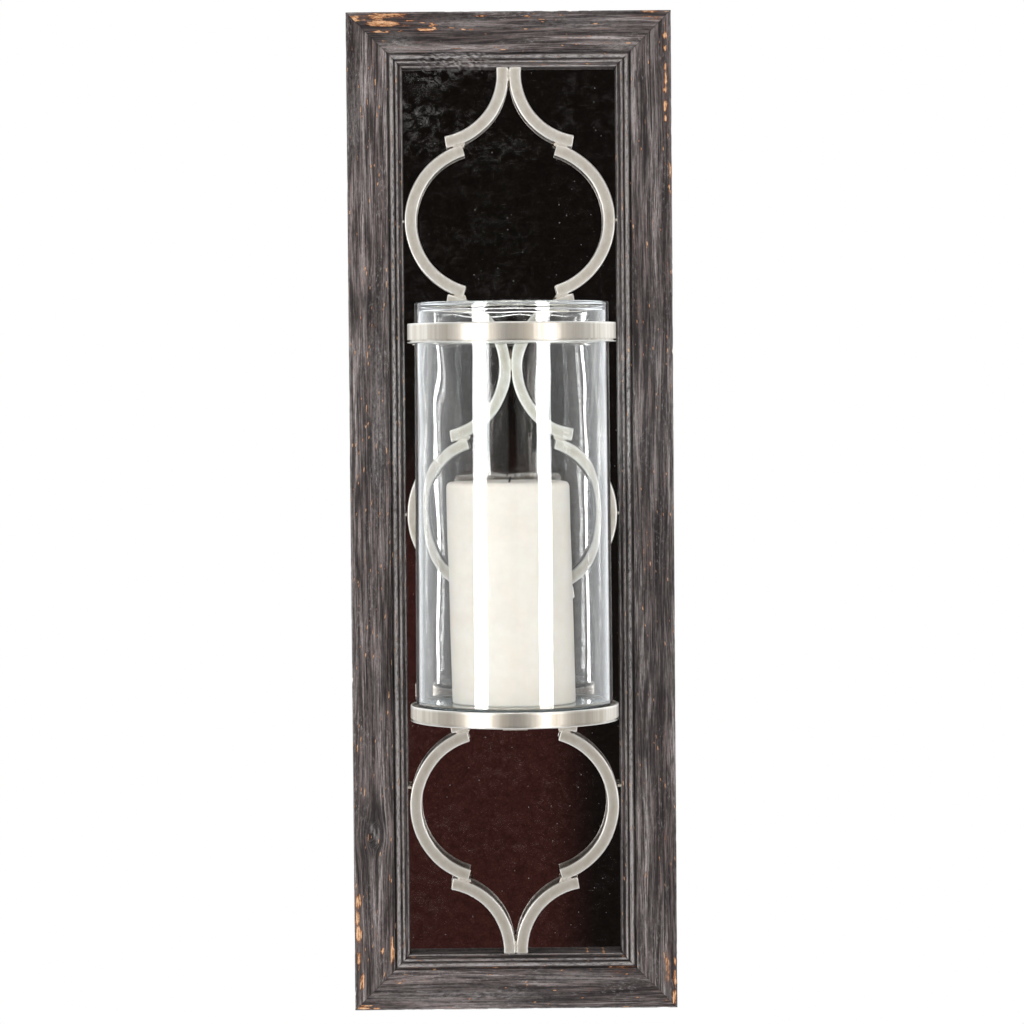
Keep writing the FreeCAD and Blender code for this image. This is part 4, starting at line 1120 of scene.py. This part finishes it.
def studio_world():
    """Bright behind the object and dim in front, where the mirror finds a dark doorway and a red-brown rug.

    What the camera sees past the object is plain white.
    """
    world = bpy.data.worlds.new("studio")
    bpy.context.scene.world = world
    world.use_nodes = True
    tree = world.node_tree
    parts = parts_of(tree, add(tree, "TexCoord").outputs["Generated"])
    frontwards = times(tree, parts["Y"], -1.0)
    glow = ramp(tree, calculate(tree, "MULTIPLY_ADD", frontwards, 0.5, 0.5),
                (0.0, (0.96, 0.98, 1.0)), (0.36, (0.92, 0.95, 0.98)), (0.48, (0.46, 0.465, 0.475)),
                (0.62, (0.27, 0.265, 0.265)), (0.78, (0.21, 0.205, 0.20)), (0.92, (0.16, 0.155, 0.15)),
                (0.98, (0.10, 0.095, 0.09)))
    aside = calculate(tree, "ABSOLUTE", parts["X"])
    upright = calculate(tree, "ABSOLUTE", parts["Z"])
    doorway = times(tree, between(tree, aside, 0.11, 0.06), between(tree, upright, 0.32, 0.20))
    doorway = times(tree, doorway, between(tree, frontwards, 0.0, 0.3))
    low_left = times(tree, between(tree, parts["Z"], -0.012, -0.055), between(tree, parts["X"], 0.030, 0.014))
    seen_in_mirror = blend_colour(tree, low_left, (0.0086, 0.0070, 0.0062), (0.047, 0.017, 0.0148))
    room = tree.nodes["Background"]
    connect(tree, room.inputs["Color"], blend_colour(tree, doorway, glow, seen_in_mirror))
    room.inputs["Strength"].default_value = 1.6
    backdrop = add(tree, "Background", {"Color": (1, 1, 1, 1), "Strength": 1.0})
    seen = add(tree, "LightPath").outputs["Is Camera Ray"]
    mixed = add(tree, "MixShader", {0: seen, 1: room, 2: backdrop})
    connect(tree, tree.nodes["World Output"].inputs["Surface"], mixed)


def studio_camera():
    """A long lens, level with the upper part of the glass, rolled by half a degree."""
    data = bpy.data.cameras.new("camera")
    data.sensor_width = 36
    data.lens = 130.1
    data.clip_start, data.clip_end = 0.05, 200
    camera = bpy.data.objects.new("camera", data)
    yaw, down, roll = math.radians(0.407), math.radians(2.119), math.radians(-0.474)
    turn = (Matrix.Rotation(-yaw, 4, "Z") @ Matrix.Rotation(math.pi / 2 - down, 4, "X")
            @ Matrix.Rotation(roll, 4, "Z"))
    camera.matrix_world = Matrix.Translation((-0.0169, -2.374, 0.0873)) @ turn
    bpy.context.scene.collection.objects.link(camera)
    bpy.context.scene.camera = camera


def build():
    bars = satin_metal("satin_metal", (0.10, 0.10, 0.07), 0.50, 0.42)
    bands = satin_metal("satin_band", (0.16, 0.16, 0.004), 0.44, 0.35)
    picture_frame(weathered_wood())
    paint(antiqued_mirror(), "mirror_panel")
    paint(fibreboard(), "backing_board")
    paint(zinc_steel(), *nodes_of("zinc_steel"))
    paint(bars, *nodes_of("satin_metal"))
    scroll(bars)
    hoop("upper_ring", RING_BOTTOM, RING_HEIGHT, 1.9, bands)
    hoop("tray_rim", TRAY_BOTTOM, TRAY_HEIGHT, 5.2, bands)
    front_welds(weld_metal(), brown_flux())
    hurricane_glass(clear_glass())
    pillar_candle(candle_wax())
    candle_wick(charred_cotton())
    pale_floor()
    studio_lights()
    studio_world()
    studio_camera()
    bpy.context.scene.view_settings.view_transform = "Standard"


build()
bpy.context.view_layer.update()
